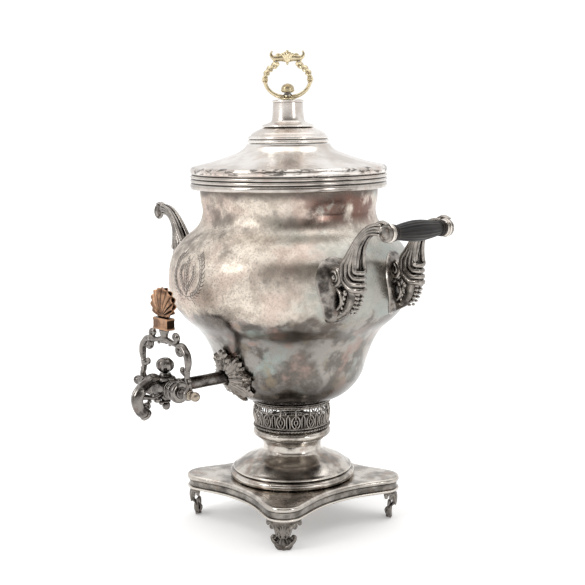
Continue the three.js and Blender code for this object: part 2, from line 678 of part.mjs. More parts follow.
// An ebonised baluster grip, bored for the tie rod.
function grip() {
  const half = HANDLE.gripHalf;
  const side = [[6.8, half], [7.2, half - 2.4], [6.3, half - 5], [8.2, half - 14], [9.4, half - 24]];
  const other = side.map(([r, y]) => [r, -y]).reverse();
  return alongMinusY(turned([[2.8, -half], ...other, ...side, [2.8, half]], SMALL_ROUND));
}

for (const [name, turn] of [['right', 0], ['left', Math.PI]]) {
  const handle = new THREE.Group();
  handle.rotation.z = turn;
  urn.add(handle);
  for (const side of [-1, 1]) {
    const end = side * Math.cos(turn) < 0 ? 'front' : 'rear';
    handle.add(add(`backplate_${name}_${end}`, backplate(side), CAST_SILVER));
    handle.add(add(`bracket_${name}_${end}`, bracket(side), CAST_SILVER));
  }
}

// Only the right handle still has its grip: the left arms end in open sockets.
const { gripX, gripZ, gripHalf } = HANDLE;
for (const [end, side] of [['front', -1], ['rear', 1]]) {
  const collar = add(`ferrule_right_${end}`, ferrule(), CAST_SILVER, gripX, side * (gripHalf + GAP), gripZ);
  collar.rotation.z = side < 0 ? 0 : Math.PI;
}
add('grip_right', grip(), EBONY, gripX, 0, gripZ);
const tieRod = alongMinusY(pin(2.4, 2 * (gripHalf + FERRULE + ROD_DEPTH + GAP), 10));
add('grip_rod_right', tieRod, STEEL, gripX, 0, gripZ);

// ---------------------------------------------------------------- lid

function lid() {
  const { seat, top, rimRadius, holeRadius } = LID;
  const cone = smooth([
    [90.6, 342.2], [75.1, 345.7], [62.9, 349.4], [47.6, 355], [41, 359.4], [38.8, top],
  ], 6);
  const inside = offset(cone, -1.5).filter((point, i) => i % 2 === 0).reverse();
  return turned([
    [rimRadius - 1.6, seat], [rimRadius, seat], [rimRadius, 341.2], ...cone, [holeRadius, top],
    [holeRadius, top - 1.5], ...inside.slice(1), [rimRadius - 1.6, 340.6],
  ]);
}

add('lid', lid(), SILVER);
add('lid_flange', turned([[79.6, 326], [81, 326], [81, 341.4], [79.6, 341.4]]), SILVER);
add('lid_sleeve', turned([
  [24.6, 354], [26, 354], [26, LID.top + 0.1], [30, LID.top + 0.1],
  [30, LID.top + 1], [26, LID.top + 1], [26, 369], [24.6, 369],
], MEDIUM_ROUND), SILVER);

// ---------------------------------------------------------------- chimney cap

function cap() {
  const { bottom, top, radius } = CAP;
  const dome = smooth([[35.4, 370.4], [30.4, 374.4], [22.6, 378.2], [17, top]], 4);
  const inside = offset(dome, -1.4).filter((point, i) => i % 2 === 0).reverse();
  return turned([
    [radius - 1.5, bottom], [radius, bottom], [radius, bottom + 2.8], [radius - 1.4, bottom + 3.6],
    [radius - 1.4, bottom + 6], ...dome, [8, top], [8, top - 1.4], ...inside,
    [radius - 2.9, bottom + 5.4], [radius - 1.5, bottom + 3],
  ], MEDIUM_ROUND + 4);
}

function capNeck() {
  const { bottom, top, radius, ledgeRadius } = NECK;
  return turned([
    [12.4, bottom], [ledgeRadius, bottom], [ledgeRadius, bottom + 1.7], [radius + 1, bottom + 2.3],
    [radius, bottom + 3.4], [radius - 1, top - 1.6], [radius - 0.3, top - 1], [radius - 0.3, top],
    [2.5, top], [2.5, top - 1.5], [radius - 2.4, top - 1.5], [radius - 1.5, bottom + 3], [12.4, bottom + 1.6],
  ], MEDIUM_ROUND);
}

// The upright ring: plain arms below, thicker above, with a scrolled crest.
function ringHandle() {
  const { centre, halfWidth, halfHeight, crest } = RING;
  const centreAt = (t) => [halfWidth * Math.sin(t), centre - halfHeight * Math.cos(t)];
  const radiusAt = (t) => 2.2 - 0.6 * Math.cos(t);
  const loop = ringXZ(centreAt, radiusAt, 26, 6);
  const bar = crest - 7;
  const crestPlate = plateXZ([
    [-11, bar - 6], [0, bar - 7.6], [11, bar - 6],
    [16.8, bar + 2], [15.6, bar + 5], [13.8, bar + 2.6], [5, bar + 3], [3, bar + 6.2],
    [0, crest],
    [-3, bar + 6.2], [-5, bar + 3], [-13.8, bar + 2.6], [-15.6, bar + 5], [-16.8, bar + 2],
  ], 5);
  const studHole = pin(2.3, 12).translate(0, 0, NECK.top + 2);
  const seat = block(50, 12, 8, [0, 0, NECK.top + 0.1 - 4]);
  return cut(joined(loop, crestPlate), studHole, seat);
}

const FINIAL_SEAT = 407.4;
const finialKnob = turned([
  [2.3, FINIAL_SEAT + 2.2], [3.4, FINIAL_SEAT + 2.2], [6.4, FINIAL_SEAT + 4], [6.4, FINIAL_SEAT + 5.6],
  [5.4, FINIAL_SEAT + 8.2], [2.6, FINIAL_SEAT + 10.6], [0, FINIAL_SEAT + 11.2], [0, FINIAL_SEAT + 7.4],
  [2.3, FINIAL_SEAT + 7.4],
], 16);
const finialCollar = turned([
  [2.3, FINIAL_SEAT], [3.8, FINIAL_SEAT], [4.2, FINIAL_SEAT + 1],
  [3.6, FINIAL_SEAT + 2], [2.3, FINIAL_SEAT + 2],
], 12);

add('cap', cap(), SILVER);
add('cap_sleeve', turned([[27, 364.4], [28.2, 364.4], [28.2, 373.4], [27, 373.4]], MEDIUM_ROUND), SILVER);
add('cap_neck', capNeck(), SILVER);
add('ring_handle', ringHandle(), GILT).rotation.z = THREE.MathUtils.degToRad(RING.turn);
add('finial_collar', finialCollar, DARK_METAL);
add('finial_knob', finialKnob, GILT);
add('finial_stud', pin(2, 18, 12), STEEL, 0, 0, 405.4);
const studNut = cut(pin(5, 3.4, 6), pin(2.3, 6));
add('finial_nut', studNut, STEEL, 0, 0, 399.8);

// ---------------------------------------------------------------- origin

const bounds = new THREE.Box3().setFromObject(group, true);
urn.position.x = -(bounds.min.x + bounds.max.x) / 2;
urn.position.y = -(bounds.min.y + bounds.max.y) / 2;

export default group;
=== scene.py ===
"""The looks of a charcoal-heated hot-water urn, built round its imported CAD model.

Lengths in the shape functions are millimetres from the urn's own upright axis and from the table, so they
match the CAD source. They become metres when a mesh is made.
"""

import json
import math

import bmesh
import bpy
import numpy as np
from mathutils import Matrix, Vector


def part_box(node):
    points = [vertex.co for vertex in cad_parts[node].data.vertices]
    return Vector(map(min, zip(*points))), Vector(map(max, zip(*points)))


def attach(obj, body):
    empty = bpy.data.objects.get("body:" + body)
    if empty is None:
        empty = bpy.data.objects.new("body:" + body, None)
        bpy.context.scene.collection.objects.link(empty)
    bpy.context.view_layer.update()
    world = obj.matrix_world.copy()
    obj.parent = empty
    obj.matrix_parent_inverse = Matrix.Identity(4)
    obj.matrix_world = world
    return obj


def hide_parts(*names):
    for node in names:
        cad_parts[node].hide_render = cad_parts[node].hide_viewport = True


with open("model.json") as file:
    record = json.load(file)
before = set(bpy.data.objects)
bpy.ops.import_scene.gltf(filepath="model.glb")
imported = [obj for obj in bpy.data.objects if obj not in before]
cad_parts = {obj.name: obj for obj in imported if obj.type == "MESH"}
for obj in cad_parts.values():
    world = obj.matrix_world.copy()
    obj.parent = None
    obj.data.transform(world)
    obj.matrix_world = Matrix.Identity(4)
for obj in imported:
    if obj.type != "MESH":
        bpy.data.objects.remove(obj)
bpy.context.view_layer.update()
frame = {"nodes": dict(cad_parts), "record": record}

MM = 0.001
RECORD = frame["record"]
BODY = {node: body for body, nodes in RECORD["behaviour"]["bodies"].items() for node in nodes}
SLOT = {part["node"]: part["material_slot"] for part in RECORD["subparts"]}
bowl_low, bowl_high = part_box("vessel_bowl")
AXIS = np.array([(bowl_low.x + bowl_high.x) / 2, (bowl_low.y + bowl_high.y) / 2, 0.0])


# ---------------- curves and outlines


def smooth(points, per_span=8):
    """Points along a smooth curve through the given ones."""
    p = np.array(points, float)
    p = np.vstack([2 * p[0] - p[1], p, 2 * p[-1] - p[-2]])
    out = []
    for i in range(1, len(p) - 2):
        for t in np.arange(per_span) / per_span:
            rise = p[i + 1] - p[i - 1]
            bend = 2 * p[i - 1] - 5 * p[i] + 4 * p[i + 1] - p[i + 2]
            twist = 3 * p[i] - p[i - 1] - 3 * p[i + 1] + p[i + 2]
            out.append(p[i] + (rise * t + bend * t * t + twist * t**3) / 2)
    out.append(p[-2])
    return np.array(out)


def bead(radius, bottom, top, depth, steps=8):
    """A half-round moulding between two heights that stands out from a radius by depth."""
    a = np.linspace(0, math.pi, steps + 1)
    middle = (bottom + top) / 2
    half = (top - bottom) / 2
    return np.column_stack([radius + depth * np.sin(a), middle - half * np.cos(a)])


def arc(centre, radius, start, end, steps=16, grow=0.0):
    """Points on an arc in a plane, from one angle in degrees to another; grow makes it a spiral."""
    a = np.radians(np.linspace(start, end, steps + 1))
    r = radius + grow * np.linspace(0, 1, steps + 1)
    return np.column_stack([centre[0] + r * np.cos(a), centre[1] + r * np.sin(a)])


def heading(points, closed=False):
    """Unit vectors along a polyline, one at each point."""
    ahead = np.roll(points, -1, 0) - np.roll(points, 1, 0) if closed else np.gradient(points, axis=0)
    return ahead / np.linalg.norm(ahead, axis=1)[:, None]


def inset(points, distance, closed=False):
    """A polyline moved to its left by a distance."""
    p = np.array(points, float)
    ahead = heading(p, closed)
    return p + distance * np.column_stack([-ahead[:, 1], ahead[:, 0]])


def in_xz(points, y=0.0):
    """Points of the X-Z plane as points in space."""
    p = np.array(points, float)
    return np.column_stack([p[:, 0], np.full(len(p), y), p[:, 1]])


def wrapped(points, radius_at, scale, lift=0.0, degrees=0.0):
    """Points of [sideways, height] wrapped round the urn's axis; sideways is measured at the radius scale."""
    p = np.array(points, float)
    a = math.radians(degrees) + p[:, 0] / scale
    r = radius_at(p[:, 1]) + lift
    return np.column_stack([r * np.cos(a), r * np.sin(a), p[:, 1]])


def spread(values, count):
    """Evenly spaced values stretched to a count, or one value repeated."""
    if np.isscalar(values):
        return np.full(count, float(values))
    return np.interp(np.linspace(0, 1, count), np.linspace(0, 1, len(values)), values)


# ---------------- shapes: (points, faces) pairs


def band_faces(rows, columns, close_rows=False, close_columns=True):
    """Quads over a grid of points stored row by row."""
    faces = []
    for i in range(rows if close_rows else rows - 1):
        for j in range(columns if close_columns else columns - 1):
            a = i * columns + j
            b = i * columns + (j + 1) % columns
            c = ((i + 1) % rows) * columns
            faces.append((a, b, c + (j + 1) % columns, c + j))
    return faces


def turned(profile, segments=96, flutes=0, depth=0.0):
    """A solid of revolution about Z from (radius, height) points and runs of them, with flutes if asked."""
    p = np.vstack(profile).astype(float)
    closed = p[0, 0] > 1e-6 and p[-1, 0] > 1e-6
    a = np.linspace(0, 2 * math.pi, segments, endpoint=False)
    shrink = 1 - depth * np.abs(np.sin(flutes * a / 2)) if flutes else np.ones(segments)
    x = p[:, :1] * (np.cos(a) * shrink)
    y = p[:, :1] * (np.sin(a) * shrink)
    z = np.repeat(p[:, 1:], segments, axis=1)
    points = np.stack([x, y, z], axis=-1).reshape(-1, 3)
    return points, band_faces(len(p), segments, close_rows=closed)


def sweep(path, radius, sides=10, across=None, flat=1.0, lobes=0, depth=0.0, turns=0.0, closed=False):
    """A rod with rounded ends along a path. across is the direction in which flat widens its section."""
    p = np.array(path, float)
    count = len(p)
    ahead = heading(p, closed)
    side = np.zeros_like(p)
    if across is None:
        guess = np.array([0.0, 0.0, 1.0]) if abs(ahead[0][2]) < 0.9 else np.array([1.0, 0.0, 0.0])
        for i in range(count):
            guess = guess - (guess @ ahead[i]) * ahead[i]
            guess /= np.linalg.norm(guess)
            side[i] = guess
    else:
        side[:] = across
        side -= np.sum(side * ahead, axis=1)[:, None] * ahead
        side /= np.linalg.norm(side, axis=1)[:, None]
    other = np.cross(ahead, side)
    r = spread(radius, count)
    a = np.linspace(0, 2 * math.pi, sides, endpoint=False)

    def ring(i, size, forward):
        turn = lobes * a + 2 * math.pi * turns * i / count
        reach = r[i] * size * (1 + depth * np.cos(turn))[:, None]
        middle = p[i] + ahead[i] * forward
        return middle + reach * (flat * np.cos(a)[:, None] * side[i] + np.sin(a)[:, None] * other[i])

    rings = [ring(i, 1.0, 0.0) for i in range(count)]
    if not closed:
        for bulge in (0.5, 0.85, 1.0):
            size = math.sqrt(1 - bulge * bulge)
            rings.insert(0, ring(0, size, -bulge * r[0]))
            rings.append(ring(count - 1, size, bulge * r[-1]))
    return np.vstack(rings), band_faces(len(rings), sides, close_rows=closed)


def bar(points, radius, sides=12, flat=None, y=0.0):
    """A rod along points of the X-Z plane. flat, where it is given, widens its section along Y."""
    if flat is None:
        return sweep(in_xz(points, y), radius, sides)
    return sweep(in_xz(points, y), radius, sides, across=(0, 1, 0), flat=flat)


def ball(centre, radius, stretch=(1, 1, 1), segments=20):
    a = np.linspace(-math.pi / 2, math.pi / 2, segments // 2 + 1)
    points, faces = turned(np.column_stack([radius * np.cos(a), radius * np.sin(a)]), segments)
    return points * np.array(stretch) + np.array(centre), faces


def sheet(surface, across, along, thickness):
    """A sheet of even thickness. surface turns grids u and v, from 0 to 1, into points of its outside."""
    u, v = np.meshgrid(np.linspace(0, 1, across), np.linspace(0, 1, along), indexing="ij")
    front = np.stack(surface(u, v), axis=-1)
    normal = np.cross(np.gradient(front, axis=0), np.gradient(front, axis=1))
    normal /= np.linalg.norm(normal, axis=-1)[..., None] + 1e-12
    back = front - thickness * normal
    points = np.vstack([front.reshape(-1, 3), back.reshape(-1, 3)])
    size = across * along
    faces = band_faces(across, along, close_columns=False)
    faces += [tuple(k + size for k in reversed(f)) for f in faces]
    edge = [i * along for i in range(across)]
    edge += [(across - 1) * along + j for j in range(1, along)]
    edge += [i * along + along - 1 for i in reversed(range(across - 1))]
    edge += list(reversed(range(1, along - 1)))
    for a, b in zip(edge, edge[1:] + edge[:1]):
        faces.append((b, a, a + size, b + size))
    return points, faces


def stacked(outline, levels):
    """Insets of a star-shaped outline, each at its height, with both ends drawn in to the middle."""
    shrink = (0.0, 0.25, 0.5, 0.8)
    steps = [(*levels[0], size) for size in shrink]
    steps += [(*level, 1.0) for level in levels]
    steps += [(*levels[-1], size) for size in reversed(shrink)]
    rings = []
    for distance, height, size in steps:
        rings.append(np.column_stack([inset(outline, distance, True) * size, np.full(len(outline), height)]))
    return np.vstack(rings), band_faces(len(rings), len(outline))


def joined(*shapes):
    points = []
    faces = []
    start = 0
    for shape_points, shape_faces in shapes:
        points.append(shape_points)
        faces += [tuple(k + start for k in f) for f in shape_faces]
        start += len(shape_points)
    return np.vstack(points), faces


def moved(shape, matrix):
    points, faces = shape
    m = np.array(matrix)
    return points @ m[:3, :3].T + m[:3, 3], faces


def turn(shape, degrees, axis="Z"):
    return moved(shape, Matrix.Rotation(math.radians(degrees), 4, axis))


def shift(shape, x=0.0, y=0.0, z=0.0):
    return moved(shape, Matrix.Translation((x, y, z)))


def mirrored(shape, axis):
    points, faces = shape
    flip = np.ones(3)
    flip["XYZ".index(axis)] = -1
    return points * flip, faces


def both(shape, axis="X"):
    return joined(shape, mirrored(shape, axis))


def around(shape, count, start=0.0):
    """Copies of a shape spaced evenly round Z."""
    return joined(*[turn(shape, start + 360 * i / count) for i in range(count)])


def bead_row(radius, height, count, size):
    return around(ball((radius, 0, height), size, segments=10), count)


# ---------------- materials


class Nodes:
    """A short way to write the nodes of a material or of the world."""

    def __init__(self, owner, shader="Principled BSDF", coordinates="Object"):
        owner.use_nodes = True
        self.owner = owner
        self.tree = owner.node_tree
        self.shader = self.tree.nodes[shader]
        self.place = self.add("ShaderNodeTexCoord").outputs[coordinates]

    def add(self, kind, settings=(), **inputs):
        """A node; the inputs are named, or numbered as in i0."""
        node = self.tree.nodes.new(kind)
        for key, value in dict(settings).items():
            setattr(node, key, value)
        for key, value in inputs.items():
            numbered = key[0] == "i" and key[1:].isdigit()
            self.set(node.inputs[int(key[1:]) if numbered else key], value)
        return node

    def set(self, socket, value):
        if isinstance(value, bpy.types.NodeSocket):
            self.tree.links.new(value, socket)
        else:
            socket.default_value = value

    def finish(self, **inputs):
        """The material or world, with these inputs of its shader set; _ stands for a space in their names."""
        for name, value in inputs.items():
            self.set(self.shader.inputs[name.replace("_", " ")], value)
        return self.owner

    def noise(self, size, detail=3.0, roughness=0.55, stretch=(1, 1, 1), shift=0.0):
        """Noise from 0 to 1 whose patches are about size metres wide."""
        at = self.place
        if stretch != (1, 1, 1) or shift:
            mapped = self.add("ShaderNodeMapping", Vector=at, Scale=stretch, Location=(shift, shift, shift))
            at = mapped.outputs[0]
        made = self.add("ShaderNodeTexNoise", Vector=at, Scale=1 / size, Detail=detail, Roughness=roughness)
        return made.outputs["Fac"]

    def ramp(self, value, low, high, to_low=0.0, to_high=1.0):
        made = self.add("ShaderNodeMapRange", {"interpolation_type": "SMOOTHSTEP"},
                        i0=value, i1=low, i2=high, i3=to_low, i4=to_high)
        return made.outputs[0]

    def patches(self, size, low, high, to_low=0.0, to_high=1.0, **noise):
        """Soft patches: a ramp over noise of this size."""
        return self.ramp(self.noise(size, **noise), low, high, to_low, to_high)

    def mix(self, factor, a, b):
        return self.add("ShaderNodeMix", {"data_type": "RGBA"}, i0=factor, i6=a, i7=b).outputs[2]

    def math(self, operation, a, b=0.0):
        return self.add("ShaderNodeMath", {"operation": operation}, i0=a, i1=b).outputs[0]

    def times(self, a, b):
        return self.math("MULTIPLY", a, b)

    def plus(self, a, b):
        return self.math("ADD", a, b)

    def vector(self, operation, a, b=(0, 0, 0)):
        made = self.add("ShaderNodeVectorMath", {"operation": operation}, i0=a, i1=b)
        return made.outputs["Value" if operation == "DOT_PRODUCT" else "Vector"]

    def geometry(self, output):
        return self.add("ShaderNodeNewGeometry").outputs[output]

    def crevices(self, distance):
        """1 in the open and 0 deep in a crevice of about this depth in metres."""
        made = self.add("ShaderNodeAmbientOcclusion", {"only_local": True, "samples": 6}, Distance=distance)
        return made.outputs["AO"]

    def edges(self):
        """About 0.5 on flat ground, more on a worn edge and less in a groove."""
        return self.geometry("Pointiness")

    def along(self, direction):
        """How far a point lies along a direction from the object's origin, in metres."""
        return self.vector("DOT_PRODUCT", self.place, direction)

    def height(self):
        return self.add("ShaderNodeSeparateXYZ", i0=self.place).outputs[2]

    def slant(self, axis):
        """How straight a surface faces along X, Y or Z, one way or the other, from 0 to 1."""
        split = self.add("ShaderNodeSeparateXYZ", i0=self.geometry("Normal"))
        return self.math("ABSOLUTE", split.outputs["XYZ".index(axis)])

    def faces_out(self):
        """1 on surfaces that face away from the urn's axis, 0 on those that face it."""
        outward = self.vector("MULTIPLY", self.vector("SUBTRACT", self.place, tuple(AXIS)), (1, 1, 0))
        unit = self.vector("NORMALIZE", outward)
        return self.ramp(self.vector("DOT_PRODUCT", unit, self.geometry("Normal")), -0.1, 0.35)

    def bump(self, height, strength, distance):
        return self.add("ShaderNodeBump", Height=height, Strength=strength, Distance=distance).outputs[0]


def rgb(red, green, blue):
    return (red, green, blue, 1.0)


BOWL_GLOSSY_SIDE = (0.64, 0.77, 0.0)  # from the urn's axis towards the rear of the right handle


def old_metal(name, colours, rough=(0.2, 0.4), patch=0.03, groove=0.004, dirt_and_shade=0.75, pits=0.12, valleys=0.6,
              painted_side_shade=False, shaded_inside=False, dark_edge=0.0, marks=None):
    """Metal with cloudy tarnish, stains, dark patina in grooves, painted shade in crevices, bright worn edges
    and fine pits.

    colours are those of clean, tarnished and stained metal. marks is a pair of heights in metres with dark
    scratches between them.
    """
    n = Nodes(bpy.data.materials.new(name))
    clean, tarnish, stain = (rgb(*colour) for colour in colours)
    # dark colours the painted shade in crevices and on the sides, and the real patina, streaks and scratches
    dark = rgb(*[c * (1 - dirt_and_shade) for c in tarnish[:3]])
    bright = rgb(*[min(1.0, c * 1.35) for c in clean[:3]])
    grain = n.noise(0.0011, 2.0)
    colour = n.mix(n.patches(patch, 0.38, 0.66, detail=4.0), clean, tarnish)
    colour = n.mix(n.patches(patch * 0.6, 0.52, 0.72, 0.0, 0.7, shift=0.7), colour, stain)
    colour = n.mix(n.ramp(grain, 0.60, 0.74, 0.0, pits * 4), colour, tarnish)
    # painted shade: the colour goes dark in crevices and recesses, where ambient occlusion finds them
    colour = n.mix(n.ramp(n.crevices(groove), 0.35, 0.95), dark, colour)
    colour = n.mix(n.ramp(n.edges(), 0.44, 0.495, valleys, 0.0), colour, dark)
    # painted shade: faces that turn away from the front and back are darkened
    if painted_side_shade:
        colour = n.mix(n.ramp(n.slant("Y"), 0.35, 0.7), dark, colour)
    if dark_edge:
        upright = n.ramp(n.slant("Z"), 0.35, 0.75, 1.0, 0.0)
        streaks = n.patches(0.010, 0.30, 0.60, dark_edge, dark_edge * 0.5,
                            detail=5.0, roughness=0.7, stretch=(1, 1, 2), shift=2.0)
        colour = n.mix(n.times(upright, streaks), colour, dark)
    # painted shade: near black on faces that look in towards the urn's axis
    if shaded_inside:
        colour = n.mix(n.faces_out(), rgb(0.012, 0.011, 0.010), colour)
    if marks:
        height = n.height()
        bottom, top = marks
        band = n.times(n.ramp(height, bottom, bottom + MM), n.ramp(height, top - MM, top, 1.0, 0.0))
        scratched = n.patches(0.014, 0.50, 0.56, detail=6.0, roughness=0.75, stretch=(1, 1, 3), shift=5.0)
        colour = n.mix(n.times(band, scratched), colour, dark)
    colour = n.mix(n.ramp(n.edges(), 0.515, 0.56, 0.0, 0.7), colour, bright)
    gloss = n.patches(patch * 0.8, 0.3, 0.7, rough[0], rough[1], detail=4.0, shift=1.3)
    return n.finish(Base_Color=colour, Metallic=1.0, Roughness=gloss, Normal=n.bump(grain, pits, 0.0004))


def bowl_silver():
    """The bowl's plate: warm and matt above, tarnished below a ragged tide line, with iridescent stains,
    painted shadows and painted reflection.
    """
    n = Nodes(bpy.data.materials.new("bowl silver"))
    height = n.height()
    side = n.along(BOWL_GLOSSY_SIDE)
    # smoke_and_shadow is the tone of real smoke stains and of the painted shadow under the rim
    smoke_and_shadow = (0.11, 0.092, 0.08)

    def tinted(base, tint, amount):
        return n.mix(amount, base, rgb(*tint))

    # the warm upper part, greenish and burnt towards the glossy side, with a painted shadow under the rim
    mottle = n.patches(0.012, 0.40, 0.60, detail=6.0, roughness=0.72)
    colour = tinted(rgb(0.72, 0.645, 0.56), (0.50, 0.435, 0.37), mottle)
    colour = tinted(colour, (0.60, 0.45, 0.39), n.patches(0.055, 0.50, 0.66, 0.0, 0.55, shift=0.4))
    film = n.patches(0.05, 0.47, 0.62, 0.0, 0.7, detail=4.0, stretch=(1, 1, 1.4), shift=2.1)
    colour = tinted(colour, (0.38, 0.46, 0.43), n.times(film, n.ramp(side, -0.02, 0.08)))
    neck = n.times(n.ramp(height, 0.285, 0.300), n.ramp(side, 0.015, 0.055))
    burnt = n.patches(0.028, 0.36, 0.50, detail=5.0, roughness=0.6, shift=4.0)
    colour = tinted(colour, (0.17, 0.095, 0.075), n.times(neck, burnt))
    # painted shadow: a dark band just under the rim collar
    shadow_under_rim = n.plus(height, n.times(n.noise(0.02, 4.0, shift=7.0), 0.016))
    colour = tinted(colour, smoke_and_shadow, n.ramp(shadow_under_rim, 0.320, 0.329, 0.0, 0.9))

    # the tarnished lower part, up to a ragged edge
    edge = n.plus(height, n.times(n.noise(0.035, 6.0, 0.62, shift=3.0), 0.040))
    above = n.ramp(edge, 0.227, 0.233)
    low_tone = tinted(rgb(0.30, 0.285, 0.265), (0.52, 0.48, 0.435), n.ramp(side, 0.02, 0.08, 0.0, 0.5))
    dark_cloud = n.patches(0.026, 0.44, 0.58, 0.0, 0.9, detail=5.0, roughness=0.62, shift=5.0)
    low_tone = tinted(low_tone, (0.10, 0.088, 0.078), dark_cloud)
    films = [  # patch size in metres, shift, ramp, strength and colour of each iridescent stain
        (0.024, 6.0, 0.54, 0.66, 0.75, (0.40, 0.275, 0.235)),
        (0.030, 8.0, 0.53, 0.66, 0.7, (0.30, 0.36, 0.335)),
        (0.020, 10.0, 0.56, 0.68, 0.6, (0.30, 0.245, 0.165)),
    ]
    for size, shift_by, start, end, strength, tint in films:
        low_tone = tinted(low_tone, tint, n.patches(size, start, end, 0.0, strength, shift=shift_by))
    colour = n.mix(above, low_tone, colour)

    # tones that lie over both parts, painted reflection, shade and shadow among them
    # painted reflection: the belly goes darker grey towards the glossy side
    painted_dark_reflection = n.times(n.ramp(side, 0.0, 0.05, 0.0, 0.3), n.ramp(height, 0.235, 0.265, 1.0, 0.0))
    colour = tinted(colour, (0.24, 0.225, 0.20), painted_dark_reflection)
    # painted shade and reflection: grey-green on the bowl's right, by the right handle's rear bracket
    painted_bracket_shade = n.times(n.ramp(side, 0.03, 0.07, 0.0, 0.6), n.ramp(height, 0.270, 0.295, 1.0, 0.0))
    colour = tinted(colour, (0.27, 0.30, 0.285), n.times(painted_bracket_shade, above))
    # darker patches in a band just below the tide line, under the bowl's widest point
    patches_under_shoulder = n.patches(0.04, 0.44, 0.56, 0.0, 0.85, detail=5.0, roughness=0.6, shift=12.0)
    just_below = n.times(n.ramp(edge, 0.205, 0.222), n.ramp(edge, 0.229, 0.236, 1.0, 0.0))
    colour = tinted(colour, smoke_and_shadow, n.times(just_below, patches_under_shoulder))
    smoky = n.patches(0.04, 0.56, 0.70, 0.0, 0.7, detail=5.0, roughness=0.62, shift=14.0)
    colour = tinted(colour, smoke_and_shadow, smoky)
    # painted shadow: near black on the bowl's underside, above the gallery
    colour = tinted(colour, (0.045, 0.038, 0.034), n.ramp(height, 0.122, 0.158, 0.95, 0.0))
    grain = n.noise(0.0016, 3.0, 0.65)
    pitted = n.times(n.ramp(grain, 0.48, 0.66, 0.0, 0.7), n.ramp(side, -0.06, 0.06, 1.0, 0.35))
    colour = tinted(colour, (0.24, 0.205, 0.18), pitted)

    cloudy = n.patches(0.035, 0.3, 0.7, 0.0, 0.10, detail=4.0, shift=11.0)
    dull = n.times(n.ramp(side, 0.0, 0.06, 0.24, 0.08), above)
    gloss = n.plus(n.plus(dull, cloudy), 0.15)
    return n.finish(Base_Color=colour, Metallic=1.0, Roughness=gloss, Normal=n.bump(grain, 0.16, 0.0004))


def ebonised_wood():
    n = Nodes(bpy.data.materials.new("ebonised wood"))
    grain = n.noise(0.004, 4.0, stretch=(1, 0.12, 1))
    colour = n.mix(n.ramp(grain, 0.35, 0.7), rgb(0.004, 0.0035, 0.0035), rgb(0.017, 0.013, 0.011))
    colour = n.mix(n.ramp(n.edges(), 0.52, 0.58, 0.0, 0.3), colour, rgb(0.09, 0.06, 0.045))
    gloss = n.patches(0.012, 0.3, 0.7, 0.34, 0.50)
    n.shader.inputs["Specular IOR Level"].default_value = 0.3
    return n.finish(Base_Color=colour, Roughness=gloss, Normal=n.bump(grain, 0.15, 0.0003))


# clean, tarnished and stained colours of the metals that more than one material shares
PLATE = ((0.80, 0.76, 0.72), (0.56, 0.50, 0.45), (0.64, 0.53, 0.47))
DULL_PLATE = ((0.60, 0.56, 0.51), (0.20, 0.18, 0.16), (0.34, 0.25, 0.20))
CAST = ((0.30, 0.275, 0.25), (0.055, 0.048, 0.043), (0.125, 0.09, 0.075))

MATERIALS = {
    "silver_plate": old_metal(
        "silver plate", PLATE,
        rough=(0.19, 0.32), patch=0.035, groove=0.003, pits=0.10),
    "cast_silver": old_metal(
        "cast silver", CAST,
        rough=(0.14, 0.32), patch=0.008, groove=0.005, dirt_and_shade=0.92, pits=0.2, valleys=0.98),
    "dark_metal": old_metal(
        "dark metal", ((0.23, 0.212, 0.196), (0.04, 0.035, 0.033), (0.125, 0.088, 0.075)),
        rough=(0.13, 0.30), patch=0.010, groove=0.005, dirt_and_shade=0.9, pits=0.2, valleys=0.95),
    "copper": old_metal(
        "copper", ((0.40, 0.235, 0.145), (0.15, 0.085, 0.055), (0.24, 0.17, 0.125)),
        rough=(0.30, 0.48), patch=0.008, groove=0.004, dirt_and_shade=0.9, pits=0.2, valleys=0.95, painted_side_shade=True),
    "gilt": old_metal(
        "gilt", ((0.60, 0.52, 0.35), (0.36, 0.28, 0.165), (0.44, 0.38, 0.29)),
        rough=(0.22, 0.38), patch=0.006, groove=0.003, dirt_and_shade=0.85, pits=0.08, valleys=0.8),
    "iron": old_metal(
        "sooty iron", ((0.12, 0.115, 0.11), (0.03, 0.028, 0.026), (0.10, 0.06, 0.04)),
        rough=(0.6, 0.85), patch=0.01, pits=0.4),
    "steel": old_metal(
        "old steel", ((0.46, 0.46, 0.46), (0.24, 0.22, 0.21), (0.28, 0.20, 0.15)),
        rough=(0.3, 0.5), patch=0.01, pits=0.2),
    "ebonised_wood": ebonised_wood(),
}

DARK_PLATE = old_metal("dark plate", DULL_PLATE, rough=(0.10, 0.26), patch=0.018, groove=0.003, dirt_and_shade=0.88,
                       pits=0.12, valleys=0.8)
PLINTH_PLATE = old_metal("plinth plate", DULL_PLATE, rough=(0.14, 0.30), patch=0.018, groove=0.003, dirt_and_shade=0.85,
                         pits=0.14, valleys=0.8, dark_edge=0.75)
LID_PLATE = old_metal("lid plate", PLATE, rough=(0.12, 0.26), patch=0.035, groove=0.003, pits=0.10,
                      marks=(0.3362, 0.3432))
GALLERY_METAL = old_metal("gallery metal", CAST, rough=(0.14, 0.32), patch=0.008, groove=0.005, dirt_and_shade=0.92,
                          valleys=0.98, shaded_inside=True)
FOOT_METAL = old_metal("foot metal", ((0.19, 0.172, 0.155), (0.04, 0.035, 0.031), (0.10, 0.07, 0.055)),
                       rough=(0.18, 0.36), patch=0.008, groove=0.006, dirt_and_shade=0.9, pits=0.2, valleys=0.98)
ROSETTE_METAL = old_metal("rosette metal", ((0.24, 0.218, 0.196), (0.045, 0.040, 0.036), (0.15, 0.10, 0.085)),
                          rough=(0.12, 0.28), patch=0.006, groove=0.008, dirt_and_shade=0.92, pits=0.15, valleys=0.98)
